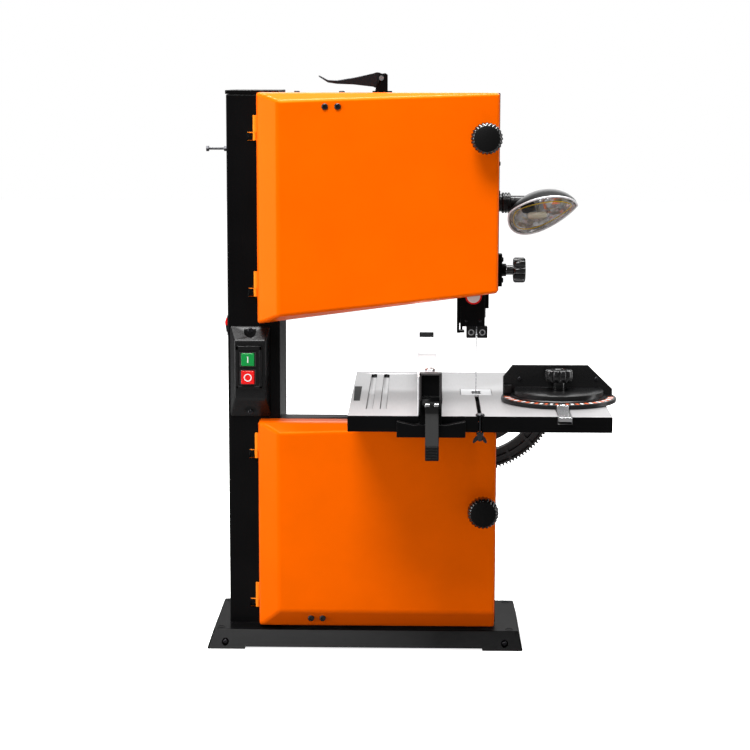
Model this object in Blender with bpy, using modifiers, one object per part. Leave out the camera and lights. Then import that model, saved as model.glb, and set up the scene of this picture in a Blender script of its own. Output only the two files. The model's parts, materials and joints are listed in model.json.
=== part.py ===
"""Benchtop band saw with a 245 mm throat, as separate pieces.

The pieces are drawn with the floor point under the blade as zero. X runs to the right along the table,
Y runs away from the operator and Z is up. Last, the whole machine is moved so that its origin is the
floor point under the middle of its outline. Sizes are in millimetres, turned into metres for Blender.
"""
import math

import bmesh
import bpy
from mathutils import Matrix, Vector

MM = 0.001
GAP = 0.3
MIDDLE = (-83.5, -33.1)

# Frame
BASE_HEIGHT = 22.0
BASE_BOTTOM = (-335.6, 60.4, -54.2, 129.0)
BASE_TOP = (-328.3, 55.3, -38.8, 113.6)
COLUMN = (-310.0, -245.0, -10.0, 113.0)
COLUMN_TOP = 689.0
COLUMN_WALL = 2.5
HOUSING_RIGHT = 26.5
HOUSING_TOP = 691.2
HOUSING_FRONT = -10.0
HOUSING_BACK = 22.0
UPPER_BOTTOM, UPPER_SLOPE = 408.4, 0.1333
LOWER_TOP = 286.5
LOWER_BOTTOM = 25.4
SHEET = 2.0

# Doors
DOOR_LEFT = -271.0
DOOR_RIGHT = 24.5
DOOR_BACK = HOUSING_FRONT - 0.6
DOOR_EDGE = -34.0
DOOR_FACE = -48.0
DOOR_SHEET = 1.5
HINGE_X, HINGE_Y = -274.3, -13.0
KNUCKLE_R = 2.6

# Wheels and blade
WHEEL_X = -125.0
UPPER_Z, LOWER_Z = 561.0, 158.0
BLADE_R = 125.0
BLADE_HALF_THICK = 0.3
BLADE_HALF_WIDTH = 6.0
TYRE_R = BLADE_R - BLADE_HALF_THICK - GAP
RIM_R = TYRE_R - 2.7
WHEEL_HALF = 7.0

# Drive
MOTOR_X, MOTOR_Z, MOTOR_R = -175.0, 97.0, 60.0
WHEEL_PULLEY_R, MOTOR_PULLEY_R = 42.0, 14.0

# Table, with the tilt axis on the blade line at the table's top
TABLE_Z = 320.0
TABLE = (-154.6, 154.2, -185.3, 169.3)
TABLE_PLATE = 8.0
APRON = 19.0
SLOT_X, SLOT_HALF, SLOT_DEPTH = 99.0, 8.2, 8.6
GROOVE = (-135.0, 143.0)
ARC_TEETH, ARC_MODULE = 141, 1.5
ARC_Y0, ARC_Y1 = 30.0, 44.0
PINION_TEETH, PINION_ANGLE = 12, -100.0

# Fence and miter gauge
FENCE = (-73.0, -50.0)
FENCE_TOP = 367.0
FENCE_MID = sum(FENCE) / 2
MITER_X, MITER_Y = 99.0, -66.0

KNOB_X, UPPER_KNOB_Z, LOWER_KNOB_Z = 8.3, 637.8, 180.4
GUIDE_KNOB_Z = 472.0
LAMP_TILT, LAMP_ROLL = -60.0, -6.0
LAMP_LEAN = (-21.0, 8.0)
LEVER_X, LEVER_Y, LEVER_Z = -119.4, 13.2, 709.0


def clear_scene():
    for obj in list(bpy.data.objects):
        bpy.data.objects.remove(obj, do_unlink=True)


def new_collection(name):
    made = bpy.data.collections.new(name)
    bpy.context.scene.collection.children.link(made)
    return made


def paint(name, colour, roughness, metallic=0.0):
    made = bpy.data.materials.new(name)
    made.use_nodes = True
    shader = made.node_tree.nodes["Principled BSDF"]
    shader.inputs["Base Color"].default_value = (*colour, 1.0)
    shader.inputs["Roughness"].default_value = roughness
    shader.inputs["Metallic"].default_value = metallic
    return made


clear_scene()
PARTS = new_collection("band_saw")
TOOLS = new_collection("cutters")
ORANGE = paint("orange_paint", (0.95, 0.28, 0.01), 0.3)
BLACK = paint("black_paint", (0.012, 0.012, 0.013), 0.35)
PLASTIC = paint("black_plastic", (0.015, 0.015, 0.016), 0.45)
STEEL = paint("bright_steel", (0.6, 0.6, 0.6), 0.3, 1.0)
CAST = paint("machined_top", (0.72, 0.72, 0.73), 0.4, 0.6)
ALLOY = paint("aluminium", (0.75, 0.75, 0.76), 0.35, 1.0)
RUBBER = paint("rubber", (0.02, 0.02, 0.02), 0.8)
GREEN = paint("green_plastic", (0.01, 0.35, 0.08), 0.35)
RED = paint("red_plastic", (0.7, 0.02, 0.02), 0.35)
GLASS = paint("clear_lens", (0.85, 0.87, 0.88), 0.05)
HINGE = paint("hinge_paint", (0.95, 0.45, 0.03), 0.35)


def link(obj, mat, tool=False):
    obj.data.materials.append(mat)
    (TOOLS if tool else PARTS).objects.link(obj)
    if tool:
        obj.hide_render = True
        obj.display_type = "WIRE"
    return obj


def from_bmesh(name, shape, mat, centre=(0, 0, 0), tool=False):
    mesh = bpy.data.meshes.new(name)
    bmesh.ops.transform(shape, matrix=Matrix.Scale(MM, 4), verts=shape.verts)
    shape.to_mesh(mesh)
    shape.free()
    obj = bpy.data.objects.new(name, mesh)
    obj.location = Vector(centre) * MM
    return link(obj, mat, tool)


def box(name, x, y, z, mat=BLACK, tool=False):
    """A block between the two values of each axis."""
    shape = bmesh.new()
    bmesh.ops.create_cube(shape, size=1.0)
    size = Vector((x[1] - x[0], y[1] - y[0], z[1] - z[0]))
    bmesh.ops.scale(shape, vec=size, verts=shape.verts)
    centre = (sum(x) / 2, sum(y) / 2, sum(z) / 2)
    return from_bmesh(name, shape, mat, centre, tool)


def turn_to(axis):
    return {"X": Matrix.Rotation(math.pi / 2, 4, "Y"), "Z": Matrix.Identity(4),
            "Y": Matrix.Rotation(-math.pi / 2, 4, "X")}[axis]


def rod(name, centre, axis, start, end, r, mat=STEEL, seg=24, r_end=None, tool=False):
    """A cylinder or cone along one axis, from start to end on that axis."""
    shape = bmesh.new()
    last = r if r_end is None else r_end
    bmesh.ops.create_cone(shape, cap_ends=True, segments=seg, radius1=r, radius2=last, depth=end - start)
    bmesh.ops.transform(shape, matrix=turn_to(axis), verts=shape.verts)
    middle = Vector(centre)
    middle["XYZ".index(axis)] = (start + end) / 2
    return from_bmesh(name, shape, mat, middle, tool)


def turned(name, profile, centre, axis, mat, steps=48, closed=True):
    """A profile of (radius, height) turned about an axis; its outer side runs from top to bottom."""
    mesh = bpy.data.meshes.new(name)
    points = [(r * MM, 0, h * MM) for r, h in profile]
    edges = [(i, i + 1) for i in range(len(points) - 1)]
    if closed:
        edges.append((len(points) - 1, 0))
    mesh.from_pydata(points, edges, [])
    obj = bpy.data.objects.new(name, mesh)
    obj.matrix_world = Matrix.Translation(Vector(centre) * MM) @ turn_to(axis)
    screw = obj.modifiers.new("turn", "SCREW")
    screw.steps = steps
    screw.render_steps = steps
    screw.use_merge_vertices = True
    screw.merge_threshold = 0.0001
    return link(obj, mat)


def ring(name, centre, axis, r0, r1, h0, h1, mat=STEEL, steps=32):
    return turned(name, [(r1, h1), (r1, h0), (r0, h0), (r0, h1)], centre, axis, mat, steps)


def plate(name, outlines, axis, start, end, mat=BLACK, tool=False):
    """A flat outline with holes, extruded from start to end along an axis, as a mesh.

    For Y the outline's points are (x, z), for Z they are (x, y), and for X they are (y, z).
    """
    curve = bpy.data.curves.new(name, "CURVE")
    curve.dimensions = "2D"
    curve.fill_mode = "BOTH"
    curve.extrude = (end - start) / 2 * MM
    for outline in outlines:
        spline = curve.splines.new("POLY")
        spline.points.add(len(outline) - 1)
        for point, (u, v) in zip(spline.points, outline):
            point.co = (u * MM, v * MM, 0, 1)
        spline.use_cyclic_u = True
    shaper = bpy.data.objects.new(name + "_outline", curve)
    TOOLS.objects.link(shaper)
    evaluated = shaper.evaluated_get(bpy.context.evaluated_depsgraph_get())
    mesh = bpy.data.meshes.new_from_object(evaluated)
    shape = bmesh.new()
    shape.from_mesh(mesh)
    bmesh.ops.remove_doubles(shape, verts=shape.verts, dist=0.00001)
    frames = {"Z": Matrix.Identity(4), "Y": Matrix.Rotation(math.pi / 2, 4, "X"),
              "X": Matrix(((0, 0, 1, 0), (1, 0, 0, 0), (0, 1, 0, 0), (0, 0, 0, 1)))}
    middle = Vector((0, 0, 0))
    middle["XYZ".index(axis)] = (start + end) / 2 * MM
    bmesh.ops.transform(shape, matrix=Matrix.Translation(middle) @ frames[axis], verts=shape.verts)
    bmesh.ops.recalc_face_normals(shape, faces=shape.faces)
    shape.to_mesh(mesh)
    shape.free()
    bpy.data.objects.remove(shaper, do_unlink=True)
    obj = bpy.data.objects.new(name, mesh)
    return link(obj, mat, tool)


def arc(centre, r, start, end, count):
    """Points on an arc, with angles in degrees."""
    angles = [math.radians(start + (end - start) * i / (count - 1)) for i in range(count)]
    return [(centre[0] + r * math.cos(a), centre[1] + r * math.sin(a)) for a in angles]


def boolean(obj, other, operation):
    mod = obj.modifiers.new(operation.lower(), "BOOLEAN")
    mod.operation = operation
    mod.solver = "EXACT"
    mod.object = other
    return obj


def cut(obj, *cutters):
    for cutter in cutters:
        boolean(obj, cutter, "DIFFERENCE")
    return obj


def join(obj, *others):
    for other in others:
        PARTS.objects.unlink(other)
        TOOLS.objects.link(other)
        other.hide_render = True
        other.display_type = "WIRE"
        boolean(obj, other, "UNION")
    return obj


def pivot(name, point, *pieces):
    """An empty on a joint's axis, carrying the pieces that move with it."""
    empty = bpy.data.objects.new(name, None)
    empty.location = Vector(point) * MM
    PARTS.objects.link(empty)
    for piece in pieces:
        piece.parent = empty
        piece.matrix_parent_inverse = Matrix.Translation(-empty.location)
    return empty


def shell(name, rings, thickness, mat, bevel=0.0):
    """An open cover lofted through rings of points, closed over the last ring, with its wall inside."""
    shape = bmesh.new()
    loops = [[shape.verts.new(point) for point in points] for points in rings]
    for low, high in zip(loops, loops[1:]):
        for i in range(len(low)):
            j = (i + 1) % len(low)
            shape.faces.new((low[i], low[j], high[j], high[i]))
    shape.faces.new(loops[-1])
    bmesh.ops.recalc_face_normals(shape, faces=shape.faces)
    cap = max(shape.faces, key=lambda face: face.calc_area())
    outward = loops[-1][0].co.y - loops[0][0].co.y
    if cap.normal.y * outward < 0:
        bmesh.ops.reverse_faces(shape, faces=shape.faces)
    obj = from_bmesh(name, shape, mat)
    if bevel:
        round_off = obj.modifiers.new("round", "BEVEL")
        round_off.width = bevel * MM
        round_off.segments = 2
        round_off.limit_method = "ANGLE"
        round_off.angle_limit = math.radians(25)
    wall = obj.modifiers.new("wall", "SOLIDIFY")
    wall.thickness = thickness * MM
    wall.offset = -1.0
    wall.use_even_offset = True
    return obj


def block(name, low_face, high_face, start, end, mat=BLACK, tool=False, axis="Z"):
    """A tapered block, from its face at start to its face at end along an axis.

    A face is the span of the first other axis and then that of the second, in X, Y, Z order.
    """
    shape = bmesh.new()
    bmesh.ops.create_cube(shape, size=1.0)
    k = "XYZ".index(axis)
    first, second = [i for i in range(3) if i != k]
    for vert in shape.verts:
        a0, a1, b0, b1 = high_face if vert.co[k] > 0 else low_face
        place = [0, 0, 0]
        place[k] = end if vert.co[k] > 0 else start
        place[first] = a1 if vert.co[first] > 0 else a0
        place[second] = b1 if vert.co[second] > 0 else b0
        vert.co = place
    return from_bmesh(name, shape, mat, (0, 0, 0), tool)


def upper_bottom_z(x):
    """The upper housing's bottom edge climbs from the column to the blade."""
    return UPPER_BOTTOM + (x - DOOR_LEFT) * UPPER_SLOPE


def build_base():
    base = block("base", BASE_BOTTOM, BASE_TOP, 0, BASE_HEIGHT)
    wall = 2.5
    low = tuple(v + wall * s for v, s in zip(BASE_BOTTOM, (1, -1, 1, -1)))
    high = tuple(v + wall * s for v, s in zip(BASE_TOP, (1, -1, 1, -1)))
    foot_left, foot_right = -287.6, 9.3
    cut(base, block("base_inside", low, high, wall, BASE_HEIGHT - wall, tool=True))
    cut(base, box("base_gap", (foot_left, foot_right), (-60, 140), (-1, 2.7), tool=True))
    for i, (x, y) in enumerate([(-319.5, -28.1), (44.0, -29.8), (44.3, 102.9), (-319.5, 102.0)]):
        cut(base, rod(f"base_hole_{i}", (x, y, 0), "Z", 15, 30, 3.6, seg=16, tool=True))
    for i, x in enumerate((-312.8, 37.7)):
        cut(base, rod(f"base_recess_{i}", (x, 0, 8.0), "Y", -60, -40, 4.4, seg=20, tool=True))
    return base


def build_column():
    x0, x1, y0, y1 = COLUMN
    column = box("column", (x0, x1), (y0, y1), (BASE_HEIGHT + GAP, COLUMN_TOP))
    inner = (x0 + COLUMN_WALL, x1 - COLUMN_WALL)
    cut(column, box("column_inside", inner, (y0 + COLUMN_WALL, y1 - COLUMN_WALL), (10, 700), tool=True))
    for name, z in (("upper", (455, 612)), ("lower", (108, 264))):
        cut(column, box(f"{name}_window", (x1 - 6, x1 + 6), (y0 + COLUMN_WALL, 18.0), z, tool=True))
    join(column, rod("cable_gland", (-285, 0, 330), "Y", y1 - 1, y1 + 14, 8.0, BLACK, 20, r_end=6.0))
    cut(column, rod("cable_way", (-285, 0, 330), "Y", y1 - 9, y1 + 20, 4.0, seg=16, tool=True))
    box("column_cap", (x0 - 1, x1), (y0, y1 + 1), (COLUMN_TOP + GAP, 694.0))
    return column


def tray(name, outline, window_z):
    rings = [[(x, y, z) for x, z in outline] for y in (HOUSING_FRONT, HOUSING_BACK)]
    made = shell(name, rings, SHEET, BLACK)
    left = COLUMN[1]
    cut(made, box(f"{name}_window", (left - 5, left + 6), (HOUSING_FRONT + COLUMN_WALL, 18.0),
                  window_z, tool=True))
    boss_z = UPPER_KNOB_Z if name.startswith("upper") else LOWER_KNOB_Z
    boss = ring(f"{name}_boss", (KNOB_X, 0, boss_z), "Y", 4.0, 5.6, -9.0, HOUSING_BACK - 1.0, BLACK, 16)
    return join(made, boss)


def build_housings():
    left, right = COLUMN[1] + GAP, HOUSING_RIGHT
    upper = tray("upper_housing", [(left, upper_bottom_z(left)), (right, upper_bottom_z(right)),
                                   (right, HOUSING_TOP), (left, HOUSING_TOP)], (455, 612))
    cut(upper, box("guide_opening", (-30, 22), (HOUSING_FRONT - 1, 19.9), (435, 460), tool=True))
    cut(upper, rod("tension_hole", (LEVER_X, LEVER_Y, 0), "Z", 680, 700, 4.0, seg=16, tool=True))
    cut(upper, box("tracking_slot", (WHEEL_X - 5, WHEEL_X + 5), (15, 30), (570, 592), tool=True))
    cut(upper, rod("lock_hole", (0, 15.5, GUIDE_KNOB_Z), "X", 15, 35, 4.0, seg=16, tool=True))
    join(upper, box("slide_left", (-16, -11.4), (12.9, 20.8), (500, 560)),
         box("slide_right", (12.4, 17), (12.9, 20.8), (500, 560)))
    corner = 9.0
    lower = tray("lower_housing", [(left, LOWER_BOTTOM), (right, LOWER_BOTTOM), (right, LOWER_TOP - corner),
                                   (right - corner, LOWER_TOP), (left, LOWER_TOP)], (108, 264))
    cut(lower, box("blade_opening", (-14, 8), (-9, 14), (270, 300), tool=True))
    cut(lower, rod("motor_hole", (MOTOR_X, 0, MOTOR_Z), "Y", 15, 30, 9.0, seg=24, tool=True))
    cut(lower, rod("lower_axle_hole", (WHEEL_X, 0, LOWER_Z), "Y", 15, 30, 6.0 + GAP, seg=24, tool=True))


def build_door(name, outline, face, knob_z):
    rings = [[(x, y, z) for x, z in outline] for y in (DOOR_BACK, DOOR_EDGE)]
    rings.append([(x, DOOR_FACE, z) for x, z in face])
    door = shell(name, rings, DOOR_SHEET, ORANGE, bevel=3.0)
    return cut(door, rod(f"{name}_hole", (KNOB_X, 0, knob_z), "Y", -60, -40, 4.0, seg=16, tool=True))


def door_knob(name, z):
    knob = turned(name, [(0, -62.0), (17.6, -62.0), (19.2, -64.5), (19.2, -79.0), (17.0, -82.0), (0, -82.0)][::-1],
                  (KNOB_X, 0, z), "Y", PLASTIC, 30, closed=False)
    hub = rod(f"{name}_hub", (KNOB_X, 0, z), "Y", -62.5, DOOR_FACE - GAP, 8.0, PLASTIC)
    stud = rod(f"{name}_stud", (KNOB_X, 0, z), "Y", -49, -3, 3.0, PLASTIC, 16)
    return join(knob, hub, stud)


def weld_hinges(door, column, z_pairs, split=0.31):
    """Lift-off hinges: knuckles welded to the door, and knuckles with their pins welded to the column."""
    for i, (low, high) in enumerate(z_pairs):
        middle = low + (high - low) * split
        centre = (HINGE_X, HINGE_Y, 0)
        knuckle = ring(f"{door.name}_knuckle_{i}", centre, "Z", 1.6, KNUCKLE_R, middle + GAP, high, HINGE, 16)
        web = box(f"{door.name}_web_{i}", (HINGE_X + 1.9, DOOR_LEFT + 1.0), (HINGE_Y - 8, HINGE_Y + 1),
                  (middle + GAP, high), HINGE)
        join(door, knuckle, web)
        foot = rod(f"{door.name}_foot_{i}", centre, "Z", low, middle, KNUCKLE_R, HINGE, 16)
        pin = rod(f"{door.name}_pin_{i}", centre, "Z", low + 2, high - 1, 1.2, HINGE, 12)
        leaf = box(f"{door.name}_leaf_{i}", (HINGE_X - 9, HINGE_X + 1), (-11.6, -9.0), (low, middle), HINGE)
        join(column, foot, pin, leaf)


def build_doors(column):
    upper_left, upper_right = upper_bottom_z(DOOR_LEFT), upper_bottom_z(DOOR_RIGHT)
    top = 691.6
    upper = build_door("upper_door",
                       [(DOOR_LEFT, upper_left), (DOOR_RIGHT, upper_right), (DOOR_RIGHT, top), (DOOR_LEFT, top)],
                       [(-244.0, upper_left + 11.5), (DOOR_RIGHT, upper_right + 2.5), (DOOR_RIGHT, top - 0.8),
                        (-244.5, top - 10.3)], UPPER_KNOB_Z)
    cut(upper, box("guard_notch", (-32, 30), (-17, -8), (436, 460), tool=True))
    corner = 9.0
    lower = build_door("lower_door",
                       [(DOOR_LEFT, LOWER_BOTTOM), (DOOR_RIGHT, LOWER_BOTTOM), (DOOR_RIGHT, LOWER_TOP - corner),
                        (DOOR_RIGHT - corner, LOWER_TOP), (DOOR_LEFT, LOWER_TOP)],
                       [(-245.0, 48.0), (DOOR_RIGHT, 48.0), (DOOR_RIGHT, LOWER_TOP - corner - 2.0),
                        (DOOR_RIGHT - corner, LOWER_TOP - 3.5), (-245.2, LOWER_TOP - 12.3)], LOWER_KNOB_Z)
    upper_knob = door_knob("upper_door_knob", UPPER_KNOB_Z)
    lower_knob = door_knob("lower_door_knob", LOWER_KNOB_Z)
    weld_hinges(upper, column, [(440.5, 471.7), (633.1, 663.8)])
    weld_hinges(lower, column, [(44.6, 75.9), (236.6, 268.4)])
    pivot("upper_door_axis", (HINGE_X, HINGE_Y, 550), upper)
    pivot("lower_door_axis", (HINGE_X, HINGE_Y, 155), lower)
    pivot("upper_knob_axis", (KNOB_X, -62, UPPER_KNOB_Z), upper_knob)
    pivot("lower_knob_axis", (KNOB_X, -62, LOWER_KNOB_Z), lower_knob)


def wheel(name, z):
    centre = (WHEEL_X, 0, z)
    profile = [(RIM_R, WHEEL_HALF), (RIM_R, -WHEEL_HALF), (RIM_R - 8, -WHEEL_HALF), (RIM_R - 8, -2.5), (22, -2.5),
               (22, -WHEEL_HALF), (14.3, -WHEEL_HALF), (14.3, WHEEL_HALF), (22, WHEEL_HALF), (22, 2.5),
               (RIM_R - 8, 2.5), (RIM_R - 8, WHEEL_HALF)]
    made = turned(f"{name}_wheel", profile, centre, "Y", ALLOY, 36)
    for i in range(5):
        angle = math.radians(90 + 72 * i)
        at = (WHEEL_X + 66 * math.cos(angle), 0, z + 66 * math.sin(angle))
        cut(made, rod(f"{name}_window_{i}", at, "Y", -6, 6, 25.0, seg=12, tool=True))
    tyre = ring(f"{name}_tyre", centre, "Y", RIM_R + 0.2, TYRE_R, -WHEEL_HALF + 0.5, WHEEL_HALF - 0.5, RUBBER, 36)
    bearing = ring(f"{name}_bearing", centre, "Y", 6.0 + GAP, 14.0, -6.5, 6.5, STEEL, 24)
    return [made, tyre, bearing]


def blade_outline(r, count=25):
    return arc((WHEEL_X, UPPER_Z), r, 0, 180, count) + arc((WHEEL_X, LOWER_Z), r, 180, 360, count)


def build_running_gear():
    upper = wheel("upper", UPPER_Z)
    lower = wheel("lower", LOWER_Z)
    pulley = turned("wheel_pulley", [(WHEEL_PULLEY_R, 19), (WHEEL_PULLEY_R, 10), (24, 10), (24, 19)],
                    (WHEEL_X, 0, LOWER_Z), "Y", ALLOY, 36)
    rod("lower_axle", (WHEEL_X, 0, LOWER_Z), "Y", -11, 26, 6.0, STEEL, 20)
    upper_axle = rod("upper_axle", (WHEEL_X, 0, UPPER_Z), "Y", -11, 11.2, 6.0, STEEL, 20)
    carrier = box("wheel_carrier", (WHEEL_X - 25, WHEEL_X + 25), (11.5, 19.4), (548, 600), BLACK)
    push_rod = rod("push_rod", (LEVER_X, LEVER_Y, 0), "Z", 605, 697, 3.0, BLACK, 12)
    neck = box("rod_foot", (LEVER_X - 4, LEVER_X + 4), (LEVER_Y - 4, 19.0), (595, 607), BLACK)
    join(carrier, neck, push_rod)
    turns, wire_r, coil_r = 5, 0.9, 4.7
    spring_bottom, spring_height, sides = 610.0, 72.0, 8
    points = []
    for i in range(turns * sides + 1):
        angle = 2 * math.pi * i / sides
        points.append((LEVER_X + coil_r * math.cos(angle), LEVER_Y + coil_r * math.sin(angle),
                       spring_bottom + spring_height * i / (turns * sides)))
    spring = wire("tension_spring", points, wire_r, STEEL)
    tracking = rod("tracking_knob", (WHEEL_X, 0, 581), "Y", 30, 48, 14.0, PLASTIC, 24)
    join(tracking, rod("tracking_screw", (WHEEL_X, 0, 581), "Y", 19.8, 31, 3.0, PLASTIC, 12))
    outer = blade_outline(BLADE_R + BLADE_HALF_THICK)
    inner = blade_outline(BLADE_R - BLADE_HALF_THICK)
    plate("blade", [outer, inner], "Y", -BLADE_HALF_WIDTH, BLADE_HALF_WIDTH, STEEL)
    rod("motor", (MOTOR_X, 0, MOTOR_Z), "Y", HOUSING_BACK + GAP, 112, MOTOR_R, BLACK, 40)
    motor_pulley = rod("motor_pulley", (MOTOR_X, 0, MOTOR_Z), "Y", 10, 19, MOTOR_PULLEY_R, ALLOY, 24)
    join(motor_pulley, rod("motor_shaft", (MOTOR_X, 0, MOTOR_Z), "Y", 18, 21.9, 6.0, ALLOY, 16))
    build_belt()
    pivot("upper_wheel_axis", (WHEEL_X, 0, UPPER_Z), *upper)
    pivot("lower_wheel_axis", (WHEEL_X, 0, LOWER_Z), *lower, pulley)
    pivot("carrier_slide", (WHEEL_X, 15, UPPER_Z), carrier, upper_axle, spring)
    pivot("tracking_axis", (WHEEL_X, 40, 581), tracking)
    pivot("motor_axis", (MOTOR_X, 15, MOTOR_Z), motor_pulley)


def belt_outline(extra):
    """The belt's path round both pulleys at this distance outside them."""
    big, small = Vector((WHEEL_X, LOWER_Z)), Vector((MOTOR_X, MOTOR_Z))
    span = small - big
    heading = math.degrees(math.atan2(span.y, span.x))
    lean = math.degrees(math.acos((WHEEL_PULLEY_R - MOTOR_PULLEY_R) / span.length))
    around_big = arc(big, WHEEL_PULLEY_R + extra, heading + lean, heading + 360 - lean, 22)
    around_small = arc(small, MOTOR_PULLEY_R + extra, heading - lean, heading + lean, 12)
    return around_big + around_small


def build_belt():
    plate("drive_belt", [belt_outline(2.8), belt_outline(0.5)], "Y", 11, 18, RUBBER)


def wire(name, points, r, mat):
    curve = bpy.data.curves.new(name, "CURVE")
    curve.dimensions = "3D"
    curve.bevel_depth = r * MM
    curve.bevel_resolution = 2
    curve.use_fill_caps = True
    curve.render_resolution_u = 0
    spline = curve.splines.new("POLY")
    spline.points.add(len(points) - 1)
    for point, place in zip(spline.points, points):
        point.co = (*[v * MM for v in place], 1)
    return link(bpy.data.objects.new(name, curve), mat)


def build_tension_lever():
    x, y, z = LEVER_X, LEVER_Y, LEVER_Z
    base_z = HOUSING_TOP + GAP
    bracket = box("lever_bracket", (x - 11, x + 13), (y - 9.5, y + 9.5), (base_z, base_z + 1.8), BLACK)
    for i, side in enumerate((y - 9.3, y + 7.3)):
        ear = plate(f"ear_{i}", [[(x - 8, base_z + 1), (x + 7.5, base_z + 1), (x + 7.5, z + 4), (x + 5, z + 6),
                                  (x - 3, z + 5)]], "Y", side, side + 2, BLACK)
        join(bracket, ear)
    cut(bracket, rod("rod_way", (x, y, 0), "Z", 680, 700, 4.2, seg=16, tool=True))
    join(bracket, rod("lever_pin", (x, 0, z), "Y", y - 10.5, y + 10.5, 2.2, BLACK, 16))
    cam_x, cam_z, cam_r = x - 5.0, z - 2.6, 9.6
    lever = rod("tension_lever", (cam_x, 0, cam_z), "Y", y - 6.5, y + 6.5, cam_r, BLACK, 32)
    arm = plate("arm", [[(cam_x - 2, cam_z + cam_r - 0.6), (x - 34, z + 0.6), (x - 55, z - 2.8), (x - 66, z - 2.4),
                         (x - 77.5, z + 3.4), (x - 77.5, z + 1.6), (x - 66, z - 5.6), (x - 55, z - 7.2),
                         (x - 34, z - 8.0), (cam_x - 4, cam_z - 8.2)]], "Y", y - 6.5, y + 6.5, BLACK)
    join(lever, arm)
    cut(lever, rod("pin_way", (x, 0, z), "Y", y - 20, y + 20, 2.6, seg=20, tool=True))
    pivot("lever_axis", (x, y, z), lever)


def build_guides():
    post = box("guide_post", (-11, 12), (13, 19), (412, 600), STEEL)
    bracket = box("guide_bracket", (-22, 10), (9.4, 12.7), (408, 446), BLACK)
    join(bracket, box("bracket_tab", (9, 15.5), (9.6, 12.5), (424, 445.5), BLACK),
         box("bracket_left", (-24.3, -21.5), (-10, 12.4), (396, 445.5), BLACK),
         box("bracket_foot", (-24, -15), (-9.6, 4), (395.8, 398.2), BLACK),
         box("jaw_beam", (-21.7, 9.6), (7.5, 12.2), (405.8, 409), BLACK))
    corner = [(-20.5, -14.5), (10, -14.5), (10, 7), (8, 7), (8, -12.5), (-20.5, -12.5)]
    guard = plate("blade_guard", [corner], "Z", 404.0, 455, BLACK)
    jaws = [box("left_jaw", (-12.5, -0.9), (-6, 6.2), (388.6, 403.2), PLASTIC),
            box("right_jaw", (0.9, 13.7), (-6, 6.2), (388.6, 403.2), PLASTIC)]
    bearing = ring("thrust_bearing", (0, 15.0, 397), "X", 3.0, 8.5, -2.5, 2.5, STEEL, 24)
    pin = rod("thrust_pin", (0, 15.0, 397), "X", -9, 9, 2.6, BLACK, 12)
    hanger = box("thrust_hanger", (4.5, 9), (11.8, 18.5), (394, 411.4), BLACK)
    join(bracket, box("bracket_shelf", (4.2, 9.3), (11.6, 18.7), (408.5, 411.7), BLACK), hanger, pin)
    flange = box("post_lock_flange", (HOUSING_RIGHT + GAP, HOUSING_RIGHT + 5.2), (8, 23), (451.7, 492.4), BLACK)
    join(flange, rod("flange_boss", (0, 15.5, GUIDE_KNOB_Z), "X", HOUSING_RIGHT + 4, 36.8, 8.0, BLACK, 24))
    cut(flange, rod("flange_bore", (0, 15.5, GUIDE_KNOB_Z), "X", 20, 40, 3.6, seg=16, tool=True))
    knob = rod("post_lock_knob", (0, 15.5, GUIDE_KNOB_Z), "X", 46, 60.8, 15.5, PLASTIC, 32)
    join(knob, rod("lock_neck", (0, 15.5, GUIDE_KNOB_Z), "X", 37.2, 47, 6.2, PLASTIC, 24),
         rod("lock_screw", (0, 15.5, GUIDE_KNOB_Z), "X", 13.0, 38, 3.0, PLASTIC, 16))
    lower = box("lower_guide", (-12, 8), (14.6, 19.6), (255, 283), BLACK)
    cut(lower, box("lower_slot", (-2.5, 2.5), (10, 30), (250, 262), tool=True))
    pivot("guide_slide", (0, 16, 500), post, guard, bracket, *jaws)
    pivot("thrust_axis", (0, 15.0, 397), bearing)
    pivot("lock_axis", (50, 15.5, GUIDE_KNOB_Z), knob)


def toothed(centre, teeth, module, phase, first, last, thickness=0.44):
    """Tooth outline about a centre: tooth indices first to last, centred at phase plus whole pitches."""
    pitch_r, pitch = teeth * module / 2, 360 / teeth
    tip_r, root_r = pitch_r + 0.8 * module, pitch_r - 1.15 * module
    points = []
    for k in range(first, last):
        middle = phase + k * pitch
        for r, offset in ((root_r, -0.33), (tip_r, -thickness / 3.2), (tip_r, thickness / 3.2), (root_r, 0.33)):
            angle = math.radians(middle + offset * pitch)
            points.append((centre[0] + r * math.cos(angle), centre[1] + r * math.sin(angle)))
    return points


def sector(centre, r0, r1, start, end, count=9):
    return arc(centre, r1, start, end, count) + arc(centre, r0, end, start, count)


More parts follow.
